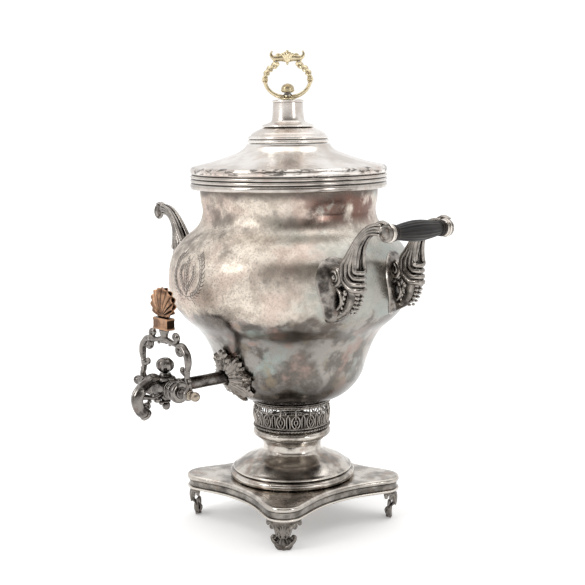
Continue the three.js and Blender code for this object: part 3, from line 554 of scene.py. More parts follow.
RIM_PLATE = old_metal("rim plate", ((0.56, 0.52, 0.48), (0.30, 0.265, 0.24), (0.38, 0.29, 0.25)),
                      rough=(0.12, 0.28), patch=0.03, groove=0.003, dirt_and_shade=0.85, pits=0.10)
PALE_METAL = old_metal("pale metal", ((0.42, 0.36, 0.29), (0.24, 0.20, 0.16), (0.32, 0.25, 0.20)),
                       patch=0.006)


# ---------------- making pieces


def placed(name, data):
    """A new object of the scene."""
    made = bpy.data.objects.new(name, data)
    bpy.context.scene.collection.objects.link(made)
    return made


def make(name, shape, material, body, crease=38):
    """A piece that rides on a body; edges sharper than crease degrees stay sharp."""
    points, faces = shape
    mesh = bpy.data.meshes.new(name)
    mesh.from_pydata((points * MM + AXIS).tolist(), [], faces)
    bm = bmesh.new()
    bm.from_mesh(mesh)
    bmesh.ops.remove_doubles(bm, verts=bm.verts, dist=1e-6)
    bmesh.ops.recalc_face_normals(bm, faces=bm.faces)
    for face in bm.faces:
        face.smooth = True
    bm.to_mesh(mesh)
    bm.free()
    mesh.set_sharp_from_angle(angle=math.radians(crease))
    mesh.materials.append(material)
    piece = placed(name, mesh)
    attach(piece, body)
    return piece


def refine(node, shape, material=None, crease=38, also=()):
    """A detailed piece that stands for a CAD node, and others if named, which it hides; it rides on the
    node's body and has the material of the node's slot unless one is given.
    """
    slot = SLOT[node]
    piece = make(node + "_fine", shape, material or MATERIALS[slot], BODY[node], crease)
    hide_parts(node, *also)


for node, cad_object in frame["nodes"].items():
    cad_object.data.materials.clear()
    cad_object.data.materials.append(MATERIALS[SLOT[node]])


# ---------------- plinth

CORNER_REACH = 104.0
CORNER_ROUND = 19.0
CORNER_START = -105  # degrees, where the flank runs into the corner at -45 degrees
SIDE_REACH = 66.5


def plinth_outline():
    """The incurved square: an ogee from the middle of a side to the round corner, then its mirror images."""
    centre = (CORNER_REACH - CORNER_ROUND) / math.sqrt(2)
    corner = arc((centre, -centre), CORNER_ROUND, CORNER_START, -45, 10)
    start = np.array([0, -SIDE_REACH])
    end = corner[0]
    lead = 26.0
    a = math.radians(CORNER_START)
    ahead = np.array([math.sin(a), -math.cos(a)])
    pulls = [start, start + [lead, 0], end + 0.7 * lead * ahead, end]
    t = np.linspace(0, 1, 15)[:, None]
    weights = [(1 - t) ** 3, 3 * (1 - t) ** 2 * t, 3 * (1 - t) * t**2, t**3]
    flank = sum(weight * pull for weight, pull in zip(weights, pulls))
    eighth = np.vstack([flank[:-1], corner])
    mirror = -eighth[1:-1][::-1][:, ::-1]
    quarter = np.vstack([eighth, mirror])
    quarter_turn = np.array([[0, 1], [-1, 0]])
    return np.vstack([quarter @ np.linalg.matrix_power(quarter_turn, k) for k in range(4)])


PLINTH_EDGE = [
    (1.3, 28.5), (0.5, 28.9), (0.1, 29.8), (0.4, 30.8), (1.5, 31.2), (2.0, 31.4), (1.9, 32.0), (2.3, 34.0),
    (1.9, 36.0), (2.0, 36.7), (1.5, 36.9), (1.3, 37.4), (0.5, 37.8), (0.0, 38.8), (0.0, 40.2), (0.5, 41.4),
    (1.5, 42.1), (2.6, 42.3),
]
PLINTH_INSIDE = [(5.2, 40.3), (5.2, 29.0), (4.4, 28.5)]
refine("plinth", stacked(plinth_outline(), PLINTH_INSIDE + PLINTH_EDGE), material=PLINTH_PLATE, crease=50)


# ---------------- feet

FOOT_TOP = 28.3
SKIRT_CENTRE = CORNER_REACH - CORNER_ROUND
SKIRT_RADIUS = 15.6
SKIRT_TURN = 0.95  # radians each way from the corner's middle
TOE_REACH = 94.0


def skirt_line(sideways, reach):
    """A point round the plinth's corner, and straight on along its flanks past the end of the round."""
    a = np.clip(sideways / SKIRT_RADIUS, -SKIRT_TURN, SKIRT_TURN)
    beyond = sideways - a * SKIRT_RADIUS
    return SKIRT_CENTRE + reach * np.cos(a) - beyond * np.sin(a), reach * np.sin(a) + beyond * np.cos(a)


def on_skirt(points, lift=0.0):
    """Points of [sideways, height] wrapped round the plinth's corner."""
    p = np.array(points, float)
    x, y = skirt_line(p[:, 0], SKIRT_RADIUS + lift)
    return np.column_stack([x, y, p[:, 1]])


def skirt_rod(points, radius, lift=0.3):
    return sweep(on_skirt(points, lift), radius, 8)


def foot():
    """A pierced, scrolled apron round the corner, a slim S-shaped leg and a leaf toe with two curls."""

    def apron(u, v):
        side = 2 * u - 1
        hang = 4.0 + 9.8 * np.exp(-((side / 0.32) ** 2)) + 1.3 * np.cos(7 * math.pi * side)
        height = FOOT_TOP - hang * v
        veins = 0.35 * np.cos(18 * math.pi * side) * v
        x, y = skirt_line(20.0 * side, SKIRT_RADIUS - 1.0 + veins)
        return x, y, height

    parts = [sheet(apron, 61, 9, 1.8)]
    for s in (-1, 1):
        big = np.vstack([smooth([(s * 14.6, 26.8), (s * 10.5, 25.2), (s * 7.2, 21.0), (s * 6.2, 17.6)], 6),
                         arc((s * 4.2, 17.4), 2.0, 0 if s > 0 else 180, -300 if s > 0 else 480, 16, -1.3)])
        parts.append(skirt_rod(big, [0.7, 1.3, 1.3, 1.0, 0.7]))
        for place, drop, size in ((11.4, 22.6, 2.3), (17.6, 24.4, 1.9)):
            small = arc((s * place, drop), size, 90, 90 - s * 420, 20, -0.7 * size)
            parts.append(skirt_rod(small, [1.0, 0.9, 0.6]))
        lower = arc((s * 2.4, 14.6), 1.9, 90, 90 + s * 330, 16, -1.0)
        parts.append(skirt_rod(lower, [0.9, 0.8, 0.6], 0.2))
    for k in range(-2, 3):
        flute = [(0.3 * k, 14.6), (1.1 * k, 19.0), (2.1 * k, 24.2 - 0.35 * k * k)]
        parts.append(skirt_rod(smooth(flute, 5), [0.5, 0.9, 1.15, 0.7], 0.8))
    parts.append(ball((SKIRT_CENTRE + SKIRT_RADIUS - 0.6, 0, 13.8), 1.7))
    top = SKIRT_CENTRE + SKIRT_RADIUS - 1.4
    leg = smooth([(top, 0, 20), (top - 0.4, 0, 14), (top - 4.6, 0, 10.2), (top - 7.6, 0, 7.2),
                  (top - 6.8, 0, 4.0), (TOE_REACH + 0.4, 0, 2.4)], 6)
    parts.append(sweep(leg, [1.7, 1.7, 1.5, 1.6, 1.9, 2.0], 12, across=(0, 1, 0), flat=1.25))
    for s in (-1, 1):
        curl = np.vstack([smooth([(s * 1.0, 2.2), (s * 5.0, 4.2), (s * 9.2, 8.4), (s * 10.6, 11.4)], 6),
                          arc((s * 8.8, 11.6), 1.9, 0 if s > 0 else 180, 260 if s > 0 else -80, 14, -0.9)])
        path = np.column_stack([np.full(len(curl), TOE_REACH + 0.8), curl])
        parts.append(sweep(path, [1.6, 2.0, 1.7, 1.3, 1.0], 10, across=(1, 0, 0), flat=1.2))

    def leaf(u, v):
        side = 2 * u - 1
        width = 8.6 * np.sin(math.pi * (0.14 + 0.72 * v)) ** 0.8
        height = 0.15 + 13.4 * v - 1.2 * side**2
        ridge = 1.0 * np.cos(7 * math.pi * side * (0.3 + 0.7 * v)) * 0.4 + 1.4 * (1 - side**2)
        return TOE_REACH + 1.4 + ridge + 1.2 * (v - 0.4) ** 2, side * width, np.maximum(height, 0.3)

    parts.append(sheet(leaf, 29, 15, 2.2))
    pad = np.vstack([[(0.0, 0.0), (2.6, 0.0)], smooth([(2.8, 0.1), (3.0, 0.6), (2.6, 1.8), (0.0, 2.6)], 4)])
    parts.append(shift(turned(pad, 24), TOE_REACH))
    return joined(*parts)


FOOT = foot()
for k, corner in enumerate(("rear_right", "rear_left", "front_left", "front_right")):
    refine("foot_" + corner, turn(FOOT, 45 + 90 * k), material=FOOT_METAL)


# ---------------- pedestal

BELL = smooth([
    (57.4, 51.6), (52.6, 55.6), (45.5, 60.0), (34.0, 65.0), (28.8, 69.0), (28.3, 75.0), (29.4, 79.0),
])
refine("pedestal", turned([
    (56.8, 42.45), bead(57.4, 42.7, 49.8, 3.2, 12), (57.0, 50.2), bead(56.4, 50.4, 53.0, 1.2, 6), BELL[5:],
    (29.8, 79.6), (31.4, 79.9), (31.8, 80.6), (31.5, 81.6), (33.2, 82.4), bead(34.4, 83.0, 90.4, 3.1, 12),
    (34.9, 91.0), (35.2, 91.6), (33.6, 91.6), (33.2, 84.6), inset(BELL, 1.6)[::-3], (57.2, 42.45),
], 128), material=DARK_PLATE, also=["pedestal_collar"])


# ---------------- pierced gallery

GALLERY_BOTTOM = 94.4
GALLERY_TOP = 115.4
GALLERY_MIDDLE = (GALLERY_BOTTOM + GALLERY_TOP) / 2
GALLERY_WALL = 36.6
GALLERY_BULGE = 2.2
GALLERY_REPEATS = 16
GALLERY_PITCH = 2 * math.pi * GALLERY_WALL / GALLERY_REPEATS  # millimetres along the wall


def gallery_radius(height):
    share = 2 * (height - GALLERY_MIDDLE) / (GALLERY_TOP - GALLERY_BOTTOM)
    return GALLERY_WALL + 0.3 - GALLERY_BULGE * share**2


def gallery_tube(points, radius, lift=0.0, closed=False):
    """A rod of the tracery along points of [sideways, height], a little flattened against the wall."""
    path = wrapped(points, gallery_radius, GALLERY_WALL, lift)
    return sweep(path, radius, 8, across=path * [1, 1, 0], flat=1.15, closed=closed)


def gallery_motif():
    """An oval with a lozenge in it, then a slim gothic slot, then small links above."""
    parts = []
    middle = GALLERY_BOTTOM + 8.0
    a = np.linspace(0, 2 * math.pi, 33)[:-1]
    oval = np.column_stack([3.9 * np.cos(a), middle + 6.3 * np.sin(a)])
    parts.append(gallery_tube(oval, 0.66, closed=True))
    lozenge = np.column_stack([1.6 * np.cos(a), middle + 2.5 * np.sin(a)])
    parts.append(gallery_tube(lozenge, 0.5, 0.3, closed=True))
    for s in (-1, 1):
        tie = [(0, middle + s * 2.4), (0, middle + s * 4.2), (0, middle + s * 5.8)]
        parts.append(gallery_tube(tie, 0.45))
    half = GALLERY_PITCH / 2
    for s in (-1, 1):
        upright = [(s * (half - 1.5), GALLERY_BOTTOM + 0.8), (s * (half - 1.5), middle + 3.0),
                   (s * (half - 0.9), middle + 5.4), (s * half, middle + 7.2)]
        parts.append(gallery_tube(smooth(upright, 5), 0.5))
        scroll = arc((s * 3.9, GALLERY_TOP - 3.7), 1.55, 200 if s > 0 else -20, 200 + s * 300, 14, -0.7)
        parts.append(gallery_tube(scroll, [0.5, 0.5, 0.4], 0.2))
    spike = [(0, middle + 6.2), (0, middle + 8.4), (0, GALLERY_TOP - 0.8)]
    parts.append(gallery_tube(spike, [0.6, 0.9, 0.6], 0.2))
    return joined(*parts)


def gallery_band(height, depth, width):
    r = gallery_radius(height)
    bottom = height - width
    top = height + width
    return turned([bead(r - 0.2, bottom, top, depth, 6), (r - 1.5, top), (r - 1.5, bottom)])


tracery = [
    gallery_band(GALLERY_BOTTOM + 0.9, 0.7, 0.9),
    gallery_band(GALLERY_BOTTOM + 15.4, 0.5, 0.5),
    gallery_band(GALLERY_TOP - 0.8, 0.7, 0.8),
    around(gallery_motif(), GALLERY_REPEATS, 180 / GALLERY_REPEATS),
]
refine("gallery", joined(*tracery), material=GALLERY_METAL)

lower_ring = turned([(31.2, 91.8), (36.2, 91.8), bead(35.7, 92.0, 94.1, 0.9), (36.2, 94.2), (31.2, 94.2)])
refine("gallery_lower_ring", joined(lower_ring, bead_row(36.6, 93.05, 72, 0.95)))
upper_ring = turned([
    (30.2, 115.6), (36.0, 115.6), bead(35.6, 115.7, 117.4, 1.4), bead(36.6, 117.5, 119.2, 1.6), (30.2, 119.3),
])
refine("gallery_upper_ring", joined(upper_ring, bead_row(37.0, 116.5, 72, 0.9)))


# ---------------- bowl and rim

BOWL_WALL = smooth([
    (38.0, 119.7), (50.5, 124.6), (60.5, 133.0), (68.4, 144.6), (73.2, 159.5), (79.6, 176.0),
    (88.4, 189.8), (102.6, 203.0), (113.0, 219.0), (115.3, 237.2), (111.6, 259.0), (100.6, 274.4),
    (86.6, 287.0), (81.8, 299.6), (83.4, 311.6), (83.9, 320.0),
])
BOWL_SHEET = 1.5
BOWL_BOTTOM = BOWL_WALL[0, 1]
MOUTH_RADIUS = BOWL_WALL[-1, 0]
MOUTH_TOP = 334.5
TUBE_HOLE = 25.5


def bowl_radius(height):
    return np.interp(height, BOWL_WALL[:, 1], BOWL_WALL[:, 0])


refine("vessel_bowl", turned([
    (TUBE_HOLE, BOWL_BOTTOM), BOWL_WALL, (MOUTH_RADIUS, MOUTH_TOP), (MOUTH_RADIUS - BOWL_SHEET, MOUTH_TOP),
    inset(BOWL_WALL, BOWL_SHEET)[::-4], (TUBE_HOLE, BOWL_BOTTOM + BOWL_SHEET),
], 192), material=bowl_silver(), also=["vessel_base", "vessel_cup", "vessel_neck"])

refine("rim_collar", turned([
    (84.3, 321.8), (90.6, 321.8), bead(91.4, 322.0, 327.4, 1.6, 10), (91.3, 327.6), (91.3, 327.9),
    bead(91.5, 328.0, 331.2, 1.3), (91.3, 331.4), (91.3, 331.6), bead(91.5, 331.7, 334.8, 1.2),
    (90.8, 335.1), (84.3, 335.1),
], 160), material=RIM_PLATE)


# ---------------- lid and chimney cap

CONE = smooth([(90.6, 342.2), (75.1, 345.7), (62.9, 349.4), (47.6, 355.0), (41.0, 359.4), (38.8, 362.9)], 8)
refine("lid", turned([
    (90.9, 335.6), (91.7, 335.7), bead(91.6, 335.9, 341.2, 0.9, 8), (91.5, 341.5), (91.0, 341.9), CONE,
    (26.5, 362.9), (26.5, 361.6), inset(CONE, 1.4)[::-3], (90.6, 340.0),
], 160), material=LID_PLATE)

DOME = smooth([(35.2, 370.4), (33.6, 372.6), (29.6, 374.8), (22.6, 378.0), (17.0, 379.3)], 6)
refine("cap", turned([
    (36.4, 363.4), bead(36.8, 363.5, 366.7, 1.4), (36.7, 366.9), bead(36.3, 367.0, 369.9, 1.2),
    (35.8, 370.1), DOME, (8.1, 379.3), (8.1, 378.1), inset(DOME, 1.3)[::-3], (34.9, 368.0),
], 128))

refine("cap_neck", turned([
    (12.4, 379.85), (19.6, 379.7), (23.6, 378.3), bead(23.9, 378.3, 380.0, 0.7, 6),
    smooth([(23.6, 380.3), (19.0, 381.8), (16.2, 383.2), (15.0, 386.0), (14.3, 393.0), (13.9, 400.4)], 6),
    bead(13.9, 400.9, 403.0, 0.9, 8), (13.4, 403.3), (2.5, 403.3), (2.5, 402.0), (12.4, 402.0), (13.2, 386.4),
], 96))


# ---------------- ring handle and acorn knob

RING_MIDDLE = 421.5
RING_WIDE = 21.0
RING_TALL = 16.2
RING_TURN = 50.0


def ring_arc(start, end, steps):
    """Part of the loop, in degrees from its lowest point."""
    a = np.radians(np.linspace(start, end, steps))
    return in_xz(np.column_stack([RING_WIDE * np.sin(a), RING_MIDDLE - RING_TALL * np.cos(a)]))


def ring_side():
    """The half of the ring at +X: a plain arm, a knuckle, a twisted arm and a scroll of the crest."""
    parts = [sweep(ring_arc(12, 92, 24), [2.2, 1.8, 1.7, 1.9], 14)]
    knuckle = ring_arc(90, 96, 2)[0]
    for lift, size in ((-1.6, 2.6), (0.0, 3.3), (1.6, 2.6)):
        parts.append(ball((knuckle[0], 0, knuckle[2] + lift), size, (1, 1, 0.42)))
    parts.append(sweep(ring_arc(96, 152, 60), [2.2, 2.6, 2.7, 2.7], 16, lobes=2, depth=0.24, turns=3.5))
    crest = smooth([(0.0, 440.6), (5.0, 441.6), (10.0, 441.4), (13.6, 442.4), (15.2, 445.0), (14.6, 447.0)])
    parts.append(bar(crest, [3.3, 3.2, 2.9, 2.0, 1.3, 0.8], 14, flat=0.8))
    parts.append(ball((14.4, 0, 447.4), 1.0))
    curl = arc((8.0, 443.6), 2.5, -120, 250, 24, -1.7)
    parts.append(bar(curl, [1.2, 1.1, 0.8], 12))
    lower = arc((10.4, 438.8), 2.2, 60, -260, 20, -1.4)
    parts.append(bar(lower, [1.1, 1.0, 0.7], 12))
    for k in (1, 2):
        flute = [(0.6 * k, 438.4), (1.7 * k, 443.2), (2.4 * k, 447.0 - 0.9 * k)]
        for y in (-2.0, 2.0):
            parts.append(bar(smooth(flute, 6), [0.8, 1.2, 1.5, 1.2], 10, y=y))
    return joined(*parts)


leaf_line = smooth([(0, 438.0), (0, 443.6), (0, 447.6)], 6)
palmette = [bar(leaf_line, [0.9, 1.4, 1.7, 1.4], 10, y=y) for y in (-2.1, 2.1)]
palmette.append(ball((0, 0, 436.8), 1.25, (1, 1, 1.3)))
palmette.append(ball((0, 0, 441.0), 2.7, (1.1, 0.9, 1)))
ring_foot = turned([
    (2.4, 403.55), (6.4, 403.55), bead(6.2, 403.6, 404.8, 0.5, 5), (5.0, 405.4), (3.4, 406.0), (3.2, 407.2),
    (2.4, 407.2),
], 40)
refine("ring_handle", turn(joined(both(ring_side()), *palmette, ring_foot), RING_TURN))

refine("finial_collar", turned([
    (2.3, 407.5), bead(3.4, 407.5, 408.6, 0.6, 5), bead(3.1, 408.7, 409.3, 0.4, 4), (2.3, 409.35),
], 40))
refine("finial_knob", turned([
    (2.3, 409.7), smooth([(3.2, 409.7), (5.2, 410.3), (6.2, 411.3)], 4), bead(6.0, 411.4, 412.8, 0.5, 6),
    smooth([(6.0, 413.0), (5.6, 415.2), (3.8, 417.2), (1.6, 418.1), (0.0, 418.5)], 5), (0.0, 414.8),
    (2.3, 414.8),
], 48))


# ---------------- tap

TAP_Y = -145.0
TAP_Z = 151.0


def to_front(shape):
    """A piece turned about Z, laid down so that its height runs towards -Y from the urn's axis."""
    return shift(turn(shape, 90, "X"), z=TAP_Z)


def at_tap(shape):
    """A piece made round the crossing of the tap's axes, put in its place."""
    return shift(shape, y=TAP_Y, z=TAP_Z)


def on_bowl_front(across, rise, lift):
    """Points on the bowl's front, beside and above the tap's axis, raised by lift."""
    height = TAP_Z + rise
    r = bowl_radius(height) + lift
    return across, -np.sqrt(r * r - across**2), height


def tap_leaf(angle, start, reach, wide, lift):
    """An acanthus leaf that leaves the shank and curls up again at its tip on the bowl."""
    a = math.radians(angle)

    def surface(u, v):
        side = 2 * u - 1
        out = start + (reach - start) * v
        half = wide * np.sin(math.pi * (0.16 + 0.76 * v)) * (1 + 0.16 * np.cos(7 * math.pi * v))
        across = out * math.cos(a) - side * half * math.sin(a)
        rise = out * math.sin(a) + side * half * math.cos(a)
        veins = 1.1 * np.cos(4 * math.pi * side) * (0.4 + 0.6 * v)
        raised = lift + 6.0 * (1 - v) ** 2 + 0.4 * v**5 + 1.6 * (1 - side**2) + veins
        return on_bowl_front(across, rise, raised)

    return sheet(surface, 21, 21, 2.4)


rosette = [tap_leaf(45 * k, 6.4, 24.5, 6.6, 1.0) for k in range(8)]
rosette += [tap_leaf(45 * k + 22.5, 6.4, 21.0, 4.4, 0.5) for k in range(8)]
refine("tap_rosette", joined(*rosette), material=ROSETTE_METAL)

SHANK_END = 136.8
refine("tap_shank", to_front(turned([
    (3.2, 56.0), (5.4, 56.0), (5.4, 66.4), bead(5.8, 72.0, 76.0, 0.9), (5.9, 84.0), (5.7, 104.0),
    (6.0, 128.0), bead(5.9, 129.0, 131.6, 0.9), bead(5.9, 132.0, 133.4, 0.5, 5), (6.0, 134.2),
    (5.6, SHANK_END), (3.2, SHANK_END),
], 48)))

SPOUT_PATH = [
    (0, -4, 8), (0, -9, 9), (0, -17, 8), (0, -25, 3), (0, -29.9, -5), (0, -27.8, -14.6), (0, -22.4, -20.0),
]


def tap_body():
    """An upright baluster, a grooved cross barrel, the curved spout and the scrolled strut under it."""
    baluster = turned([
        (0.0, -19.6), (1.4, -19.5), (2.9, -18.4), (3.7, -16.4), (3.5, -14.0), (2.7, -12.8),
        bead(3.0, -12.6, -10.8, 1.3, 6),
        smooth([(4.6, -10.2), (7.2, -6.6), (8.3, 0.0), (7.6, 4.8), (6.6, 6.6)], 5),
        bead(7.4, 7.0, 10.6, 1.8), (6.2, 11.4), (5.2, 12.6), (4.8, 14.2), (0.0, 14.4),
    ], 48)
    half = np.vstack([
        [(8.4, 1.2), (8.7, 8.4)], bead(7.6, 9.0, 11.0, 1.2, 6), bead(7.4, 11.4, 13.0, 1.0, 6),
        bead(7.2, 13.4, 15.2, 1.1, 6), bead(7.6, 15.6, 17.4, 1.3, 6),
        smooth([(8.0, 17.8), (9.4, 19.4), (9.8, 21.6), (9.2, 23.6), (8.2, 24.5)], 4), [(5.5, 24.55)],
    ])
    barrel = turn(turned([half[::-1] * [1, -1], half], 56), 90, "Y")
    socket_line = [(0.0, -10.9), (7.2, -10.9), (8.0, -10.0), (8.0, -8.6), (7.2, -8.0), (7.4, 0.0), (0, 0)]
    socket = turn(turned(socket_line, 40), 90, "X")
    spout = sweep(smooth(SPOUT_PATH, 8), [3.4, 3.9, 4.4, 5.4, 5.5, 5.0, 4.6], 22, lobes=9, depth=0.035)
    lip = moved(turned([(3.0, -2.0), (4.4, -2.0), bead(4.7, -1.8, 1.4, 1.0, 6), (3.2, 1.2)], 32),
                Matrix.Translation((0, -21.6, -20.6)) @ Matrix.Rotation(math.radians(42), 4, "X"))
    curl_line = arc((-20.0, -13.6), 2.6, 150, -200, 18, -1.9)
    curl_line = np.column_stack([np.zeros(len(curl_line)), curl_line])
    curl = sweep(curl_line, [1.9, 1.6, 1.1], 12, across=(1, 0, 0), flat=1.5)
    strut_line = smooth([(0, -5, -4), (0, -13, -6.4), (0, -20, -5.0), (0, -26, -3.6)], 7)
    strut = sweep(strut_line, [2.4, 2.0, 2.3, 3.0], 14, across=(1, 0, 0), flat=1.2)
    leaves = []
    for y, z, size in ((-9.5, -9.0, 3.2), (-14.2, -4.2, 2.3), (-17.4, -9.4, 2.0), (-5.0, -12.5, 2.4)):
        leaves.append(ball((0, y, z), size, (1.2, 1, 0.9), 16))
    collar = ball((0, -26.5, 2.0), 6.0, (0.95, 0.7, 0.9), 24)
    return joined(baluster, barrel, socket, spout, lip, curl, strut, collar, *leaves)


refine("tap_body", at_tap(tap_body()))

KNOB_MIDDLE = 172.0
knob_turn = np.linspace(-88, 90, 21)
knob_profile = np.column_stack([8.3 * np.cos(np.radians(knob_turn)), 6.8 * np.sin(np.radians(knob_turn))])
knob_profile[0, 0] = 0.0
refine("tap_knob", shift(turned(knob_profile, 96, flutes=8, depth=0.17), y=TAP_Y, z=KNOB_MIDDLE))


# ---------------- key of the tap

PEG_RADIUS = 2.6
PLUG_RADIUS = 5.1
LEG_X = 34.6


def along_x(profile, segments=40):
    return turn(turned(profile, segments), 90, "Y")


half_plug = [(PLUG_RADIUS, 25.5), (PLUG_RADIUS - 0.4, 25.9), (3.4, 26.2), (3.0, 27.0), (PEG_RADIUS, 27.6),
             (PEG_RADIUS, 43.0), (0.0, 43.0)]
other_half = [(r, -x) for r, x in reversed(half_plug)]
refine("tap_plug", at_tap(along_x(other_half + half_plug)))

plug_knob = along_x([
    (2.9, 37.7), bead(3.4, 37.8, 39.2, 0.8, 6), (3.0, 39.8), (2.9, 40.6), (3.0, 41.6),
    smooth([(3.4, 42.4), (4.1, 44.0), (4.2, 45.6), (3.4, 47.8), (1.5, 49.2), (0.0, 49.5)], 5),
    (0.0, 43.4), (2.9, 43.4),
])
refine("plug_knob_right", at_tap(plug_knob), material=PALE_METAL)
refine("plug_knob_left", at_tap(mirrored(plug_knob, "X")))


def lyre_side():
    """The half of the lyre at +X, from the eye on the plug to the arch under the block."""
    parts = [along_x([(2.9, LEG_X - 2.4), bead(4.3, LEG_X - 2.4, LEG_X + 2.4, 1.2), (2.9, LEG_X + 2.4)])]
    foot = smooth([(34.6, 3.0), (36.4, 8.5), (33.8, 14.0), (34.0, 20.0)], 7)
    parts.append(bar(foot, [3.0, 2.4, 2.2, 2.6], 16, flat=1.15))
    leg = np.vstack([smooth([(33.8, 18.0), (35.8, 26.0), (34.8, 34.0), (29.6, 39.8)], 8)[:-1],
                     arc((25.2, 36.6), 5.2, 50, 330, 24, -3.2)])
    parts.append(bar(leg, [1.8, 3.0, 3.2, 3.0, 2.4, 1.7], 18, flat=1.1))
    parts.append(ball((25.4, 0, 36.6), 2.3))
    hook = np.vstack([smooth([(34.0, 19.0), (31.0, 17.6), (28.0, 18.4)], 5)[:-1],
                      arc((27.6, 21.0), 2.4, -80, -330, 16, -1.3)])
    parts.append(bar(hook, [2.0, 1.7, 1.4, 1.0], 14, flat=1.15))
    parts.append(ball((27.6, 0, 21.2), 1.9))
    parts.append(ball((37.4, 0, 12.6), 1.7))
    parts.append(ball((36.8, 0, 20.4), 1.3))
    arch = smooth([(24.0, 40.6), (19.0, 41.4), (12.0, 42.4), (5.0, 43.8), (0.0, 44.2)], 6)
    parts.append(bar(arch, [2.2, 2.0, 2.2, 2.4, 2.6], 16, flat=1.25))
    horn = np.vstack([smooth([(11.0, 42.6), (16.4, 42.6), (20.4, 45.0)], 6)[:-1],
                      arc((17.4, 47.6), 3.6, -40, 250, 24, -2.2)])
    parts.append(bar(horn, [2.0, 2.3, 2.2, 1.8, 1.4], 16, flat=1.1))
    parts.append(ball((17.6, 0, 47.8), 1.7))
    parts.append(ball((8.6, 0, 40.2), 1.4))
    parts.append(ball((3.4, 0, 41.4), 1.4))
    return joined(*parts)


lyre_stem = shift(turned([
    (0.0, 41.0), (4.8, 41.0), bead(5.0, 41.4, 44.2, 0.9), smooth([(4.8, 44.6), (4.3, 47.0), (5.2, 50.0)], 5),
    bead(5.2, 50.3, 52.6, 0.6), (0.0, 52.7),
], 40))
lyre_stem = (lyre_stem[0] * [1.05, 0.62, 1.0], lyre_stem[1])
refine("lyre_handle", at_tap(joined(both(lyre_side()), lyre_stem)))

BLOCK = {"half_x": 11.2, "half_y": 4.5, "bottom": 204.0, "top": 214.5}
rounding = np.radians(np.arange(0, 360, 7.5))
block_outline = np.column_stack([
    BLOCK["half_x"] * np.sign(np.cos(rounding)) * np.abs(np.cos(rounding)) ** 0.12,
    BLOCK["half_y"] * np.sign(np.sin(rounding)) * np.abs(np.sin(rounding)) ** 0.12,
])
block_levels = [  # insets and heights: rounded edges and a shallow panel on each side
    (0.6, BLOCK["bottom"]), (0.1, BLOCK["bottom"] + 0.5), (0.0, BLOCK["bottom"] + 1.6), (0.35, 207.0),
    (0.35, 211.4), (0.0, BLOCK["top"] - 1.6), (0.1, BLOCK["top"] - 0.5), (0.6, BLOCK["top"]),
]
refine("key_block", shift(stacked(block_outline, block_levels), y=TAP_Y))

SHELL_FOOT = 214.9
SHELL_RIBS = 9


def shell_face(u, v):
    """One face of a scallop shell: ribs that fan out from the hinge and thin towards the lip."""
    a = math.pi / 2 + math.radians(248) * (0.5 - u)
    rib = np.abs(np.cos(SHELL_RIBS * math.pi * u))
    rim_x = (16.1 + 0.9 * rib) * np.cos(a)
    rim_z = 12.0 + (13.5 + 0.9 * rib) * np.sin(a)
    x = rim_x * v
    z = 0.4 + (rim_z - 0.4) * v
    bulge = 0.7 + 2.3 * np.sin(math.pi * np.clip(v, 0, 1) ** 0.75 * 0.86)
    return x, -(bulge + (1.8 * rib - 0.9) * v**0.6), z


hinge = shift(along_x([(0.0, -8.0), (1.6, -8.0), bead(1.8, -7.8, 7.8, 0.9, 10), (0.0, 8.0)]), z=1.9)
shell = joined(both(sheet(shell_face, 109, 24, 0.8), "Y"), hinge)
refine("key_shell", shift(shell, y=TAP_Y, z=SHELL_FOOT), crease=60)


# ---------------- handles

GRIP_X = 167.5
GRIP_Z = 292.0
GRIP_HALF = 30.2
ARM_Y = 35.8
EYE_INNER = 35.5
ROD_HOLE = 2.9
ROD_DEPTH = 2.0

PLATE_SIDES = smooth([(208.6, 1.6), (209.8, 6.2), (213.0, 9.6), (219.0, 13.0), (234.0, 17.6), (248.0, 19.4),
                      (260.0, 15.0), (265.2, 8.0), (267.4, 1.6)], 6)


def plate_surface(u, v):
    """The plate under an arm, lying on the bowl; across is measured from the arm's middle."""
    height = 208.6 + 58.8 * v
    half = np.interp(height, PLATE_SIDES[:, 0], PLATE_SIDES[:, 1])
    side = 2 * u - 1
    y = ARM_Y + side * half
    tongue = 1.5 * np.exp(-(((height - 216) / 9) ** 2)) * (1 - side**2)
    r = bowl_radius(height) + 0.4 + 2.0 * (1 - side**6) * (1 - (2 * v - 1) ** 10) + tongue
    return np.sqrt(r * r - y * y), y, height


def arm_side(t, across):
    """A point on an arm at a share t of its length; across is 0 on its outer edge and 1 on its inner edge."""
    inner = [(118.6, 262.0), (127.0, 273.0), (133.6, 282.4), (141.8, 291.8), (151.6, 298.2), (162.0, 299.8)]
    outer = [(135.4, 261.0), (134.8, 270.0), (137.0, 279.0), (143.2, 286.4), (151.6, 290.0), (160.6, 289.6)]
    edges = []
    for edge in (smooth(outer), smooth(inner)):
        steps = np.linspace(0, 1, len(edge))
        edges.append(np.column_stack([np.interp(t, steps, edge[:, k]) for k in (0, 1)]))
    low, high = edges
    return low + (high - low) * across


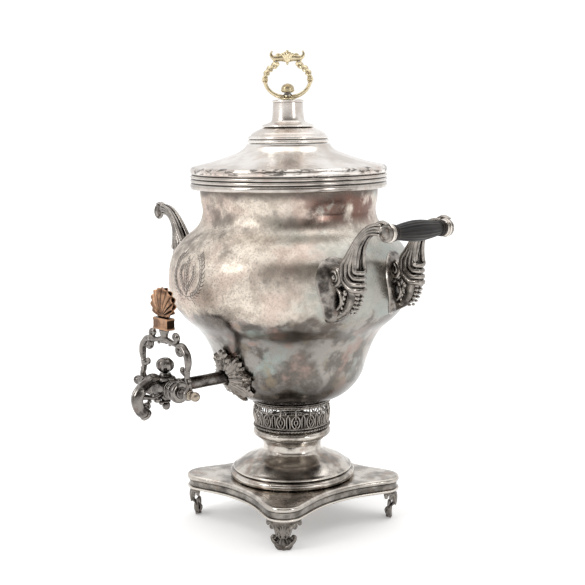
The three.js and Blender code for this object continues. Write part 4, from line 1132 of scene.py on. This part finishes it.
def arm_flute(across, turn_height, radius):
    """A raised flute: down one side of the arm, round its outer face and up its other side."""
    t = np.linspace(1.0, 0.0, 9)
    down = arm_side(t, across)
    half = 1.6 + 4.3 * (1 - t) ** 0.8
    last = down[-1]
    turn_x = np.array([last[0] + 0.6, last[0] + 0.5 * (136.6 - last[0]), 136.6])
    turn_z = np.array([turn_height + 0.45 * (last[1] - turn_height), turn_height + 0.8, turn_height])
    path = np.vstack([
        np.column_stack([down[:, 0], half, down[:, 1]]),
        np.column_stack([turn_x, [6.2, 5.4, 3.6], turn_z]),
        [(137.6, 0.0, turn_height - 0.4)],
    ])
    path = np.vstack([path, (path[:-1] * [1, -1, 1])[::-1]])
    sizes = [0.5 * radius, 0.62 * radius, 0.8 * radius, radius, radius, radius]
    return sweep(smooth(path, 4), sizes + sizes[::-1], 12)


def arm():
    """A cast arm in its own plane: volute, pendant, fluted rise and the disc that holds the grip."""
    spine = smooth([(104.0, 250.0), (116.0, 250.0), (125.0, 257.0), (129.6, 268.0), (134.6, 279.4),
                    (142.6, 289.2), (152.0, 294.4), (162.0, 295.2)], 6)
    parts = [bar(spine, [9.0, 8.6, 7.6, 4.6, 2.9, 2.6, 3.2, 3.8], 20, flat=0.78)]
    for k, (across, turn_height) in enumerate(((0.06, 256.6), (0.34, 251.8), (0.62, 246.6), (0.92, 241.6))):
        parts.append(arm_flute(across, turn_height, 2.0 + 0.15 * k))
    belly = smooth([(122.0, 250.0), (127.4, 241.0), (126.0, 231.0), (119.0, 223.0), (110.0, 217.0),
                    (103.6, 213.4)], 6)
    parts.append(bar(belly, [8.6, 7.6, 6.4, 4.6, 3.2, 2.0], 20, flat=0.85))
    core = turned([(0.0, -6.4), (8.2, -6.4), (9.2, -5.4), (9.2, 5.4), (8.2, 6.4), (0.0, 6.4)], 40)
    parts.append(shift(turn(core, 90, "X"), 110.0, 0, 250.6))
    for s in (-1, 1):
        spiral = in_xz(arc((110.0, 250.6), 8.2, 60, -560, 56, -6.2), s * 6.5)
        parts.append(sweep(spiral, [2.0, 1.9, 1.6, 1.3, 1.0], 12))
        parts.append(ball((110.0, s * 6.8, 250.6), 2.5))
        crest = smooth([(118.0, 255.6), (120.4, 261.0), (125.6, 270.0), (132.0, 280.6)], 6)
        parts.append(bar(crest, [1.5, 1.7, 1.2, 0.8], 10, y=s * 5.0))
        for k in range(5):
            place = (123.6 - 2.2 * k, s * (6.2 - 0.7 * k), 238.6 - 4.6 * k)
            parts.append(ball(place, 2.5 - 0.3 * k, (1, 0.8, 1.1), 14))
        for k in range(6):
            place = (135.0 - 0.35 * k * k, s * 2.6, 238.6 - 3.7 * k)
            parts.append(ball(place, 2.3 - 0.14 * k, (1, 1.1, 0.8), 14))
        leaf = smooth([(112.0, 241.0), (117.0, 236.0), (117.4, 229.0), (112.0, 223.0)], 5)
        parts.append(bar(leaf, [1.6, 2.3, 2.0, 1.2], 12, y=s * 4.8))
    inner_face = EYE_INNER - ARM_Y
    socket = [(0.0, inner_face + ROD_DEPTH), (ROD_HOLE, inner_face + ROD_DEPTH), (ROD_HOLE, inner_face)]
    disc = turned([
        socket, (6.9, inner_face), bead(6.9, inner_face, 2.1, 0.65, 8),
        (5.8, 2.3), (5.2, 2.0), (4.4, 2.2), smooth([(3.2, 2.7), (1.6, 2.95), (0.0, 3.0)], 4),
    ], 48)
    parts.append(shift(turn(disc, -90, "X"), GRIP_X, 0, GRIP_Z))
    for s in (-1, 1):
        lap = smooth([(158.0, 299.6), (163.4, 301.2), (169.6, 299.8)], 5)
        parts.append(bar(lap, [1.2, 1.4, 0.8], 10, y=1.2 + 1.2 * s))
    return joined(*parts)


def handle_side(shape, name):
    """A piece made for the rear arm of the right handle, turned or mirrored to the named arm."""
    side, end = name.split("_")
    if (side == "right") != (end == "rear"):
        shape = mirrored(shape, "Y")
    return turn(shape, 180) if side == "left" else shape


plate = sheet(plate_surface, 33, 41, 2.2)
rear_arm = shift(arm(), y=ARM_Y)
collar = turned([
    (ROD_HOLE, -2.2), (6.6, -2.2), bead(7.0, -2.2, -0.2, 1.1, 6), bead(6.8, -0.1, 1.0, 0.6, 5),
    bead(6.6, 1.1, 2.2, 0.7, 5), (ROD_HOLE, 2.2),
], 48)
rear_collar = shift(turn(collar, 90, "X"), GRIP_X, GRIP_HALF + 0.3 + 2.3, GRIP_Z)
for arm_name in ("right_rear", "right_front", "left_rear", "left_front"):
    refine("backplate_" + arm_name, handle_side(plate, arm_name))
    refine("bracket_" + arm_name, handle_side(rear_arm, arm_name))
for end in ("rear", "front"):
    ferrule = handle_side(rear_collar, "right_" + end)
    refine("ferrule_right_" + end, ferrule, material=DARK_PLATE)

half_grip = [(6.0, 25.4), (7.4, 18.0), (8.7, 8.0), (9.05, 0.0)]
fluted = smooth(half_grip + [(r, -h) for r, h in reversed(half_grip[:-1])], 6)[::-1]
plain_end = np.vstack([bead(5.9, 25.7, 27.6, 0.9, 6), bead(6.3, 27.8, 30.1, 0.9, 6)])
grip_end = turned([(ROD_HOLE, 25.0), (5.6, 25.0), plain_end, (ROD_HOLE, 30.15)], 56)
grip_body = turned([(ROD_HOLE, -25.5), fluted, (ROD_HOLE, 25.5)], 144, flutes=18, depth=0.055)
grip = joined(grip_body, grip_end, mirrored(grip_end, "Z"))
refine("grip_right", shift(turn(grip, 90, "X"), GRIP_X, 0, GRIP_Z), crease=60)


# ---------------- engraving

WREATH_TURN = -94  # degrees round the bowl from +X
WREATH_RADIUS = 113.0  # about that of the bowl where the wreath is
LINE_LIFT = 0.05


def engraved_line(points, width):
    """A dark hair-thin line on the bowl along [sideways, height] points from the wreath's middle."""
    return sweep(wrapped(points, bowl_radius, WREATH_RADIUS, LINE_LIFT, WREATH_TURN), width, 6)


def spray(points, line, leaf):
    """An engraved stem with pairs of leaves along it, on the bowl's front."""
    stem = smooth(points, 8)
    ahead = heading(stem)
    parts = [engraved_line(stem, line)]
    for k in range(3, len(stem) - 1, 2):
        for lean in (-1, 1):
            sideways = lean * np.array([-ahead[k][1], ahead[k][0]])
            tip = stem[k] + leaf * (1.44 * ahead[k] + sideways)
            bow = stem[k] + leaf * (0.62 * ahead[k] + 0.75 * sideways)
            vein = smooth([stem[k], bow, tip], 4)
            parts.append(engraved_line(vein, [line * 0.7, line, line * 0.6]))
    return joined(*parts)


def wreath():
    """Leafy sprays and a ribbon: a plain engraved ornament without letters or arms."""
    parts = [spray([(0, 229.0), (0.8, 240.0), (-0.8, 251.0), (0, 262.0)], 0.32, 3.4)]
    for s in (-1, 1):
        outer = [(s * 1.5, 229.0), (s * 14.0, 233.0), (s * 22.0, 245.0), (s * 20.0, 259.0), (s * 13.0, 267.0)]
        parts.append(spray(outer, 0.42, 3.2))
        inner = [(s * 0.8, 231.0), (s * 6.0, 240.0), (s * 11.0, 248.0), (s * 9.0, 257.0)]
        parts.append(spray(inner, 0.3, 2.6))
        tail = smooth([(0, 230.0), (s * 4.0, 226.0), (s * 9.0, 226.6), (s * 12.0, 223.4)], 6)
        parts.append(engraved_line(tail, 0.25))
    return joined(*parts)


make("engraved_wreath", wreath(), MATERIALS["dark_metal"], "urn")


# ---------------- floor, light and camera

CAMERA_TURN = 50.25  # degrees round the urn from -Y towards +X
CAMERA_REACH = 1.0901  # metres from the urn's axis
CAMERA_HEIGHT = 0.3863
CAMERA_DIP = 8.61
CAMERA_PAN = math.degrees(0.002)
CAMERA_ROLL = -0.70
FOCAL_LENGTH = 70.86  # for a sensor 36 mm wide

turn_angle = math.radians(CAMERA_TURN)
towards_camera = Vector((math.sin(turn_angle), -math.cos(turn_angle), 0.0))
to_the_right = Vector((math.cos(turn_angle), math.sin(turn_angle), 0.0))
up = Vector((0, 0, 1))
axis_foot = Vector(AXIS)


def floor_paper():
    white = rgb(0.92, 0.92, 0.92)
    n = Nodes(bpy.data.materials.new("floor paper"))
    return n.finish(Base_Color=white, Roughness=0.9, Emission_Color=white, Emission_Strength=0.25)


def panel(name, width, height, place, target, power):
    """A soft rectangular light that faces a point."""
    light = bpy.data.lights.new(name, "AREA")
    light.shape = "RECTANGLE"
    light.size = width
    light.size_y = height
    light.energy = power
    holder = placed(name, light)
    holder.location = place
    holder.rotation_euler = (target - place).to_track_quat("-Z", "Y").to_euler()


FLOOR_HALF = 6.0
floor_mesh = bpy.data.meshes.new("floor")
corners = [(x * FLOOR_HALF, y * FLOOR_HALF, 0) for x, y in ((-1, -1), (1, -1), (1, 1), (-1, 1))]
floor_mesh.from_pydata(corners, [], [(0, 1, 2, 3)])
floor_mesh.materials.append(floor_paper())
placed("floor", floor_mesh)


def studio():
    """A white room that darkens high up on the camera's side, which the metal reflects."""
    n = Nodes(bpy.data.worlds.new("studio"), "Background", "Generated")
    dark_room = n.times(n.ramp(n.along(towards_camera), -0.05, 0.70), n.ramp(n.height(), 0.14, 0.26))
    return n.finish(Color=n.mix(dark_room, rgb(1.0, 1.0, 1.0), rgb(0.17, 0.155, 0.14)), Strength=1.05)


bpy.context.scene.world = studio()

# a large key light on the camera's left, high up, and a small fill light on its right
middle = axis_foot + up * 0.22
panel("key", 0.5, 0.75, middle + towards_camera * 0.9 - to_the_right * 1.4 + up * 0.9, middle, 8)
panel("fill", 0.3, 0.6, middle + towards_camera * 1.2 + to_the_right * 1.2 + up * 0.3, middle, 3)

sky = bpy.data.lights.new("soft sky", "SUN")
sky.energy = 1.0
sky.angle = math.radians(80)
placed("soft sky", sky)

camera_data = bpy.data.cameras.new("camera")
camera_data.sensor_width = 36.0
camera_data.lens = FOCAL_LENGTH
camera = placed("camera", camera_data)
camera.matrix_world = (
    Matrix.Translation(axis_foot + towards_camera * CAMERA_REACH + up * CAMERA_HEIGHT)
    @ Matrix.Rotation(math.radians(CAMERA_TURN - CAMERA_PAN), 4, "Z")
    @ Matrix.Rotation(math.radians(90 - CAMERA_DIP), 4, "X")
    @ Matrix.Rotation(math.radians(CAMERA_ROLL), 4, "Z")
)
bpy.context.scene.camera = camera
bpy.context.scene.view_settings.view_transform = "Standard"
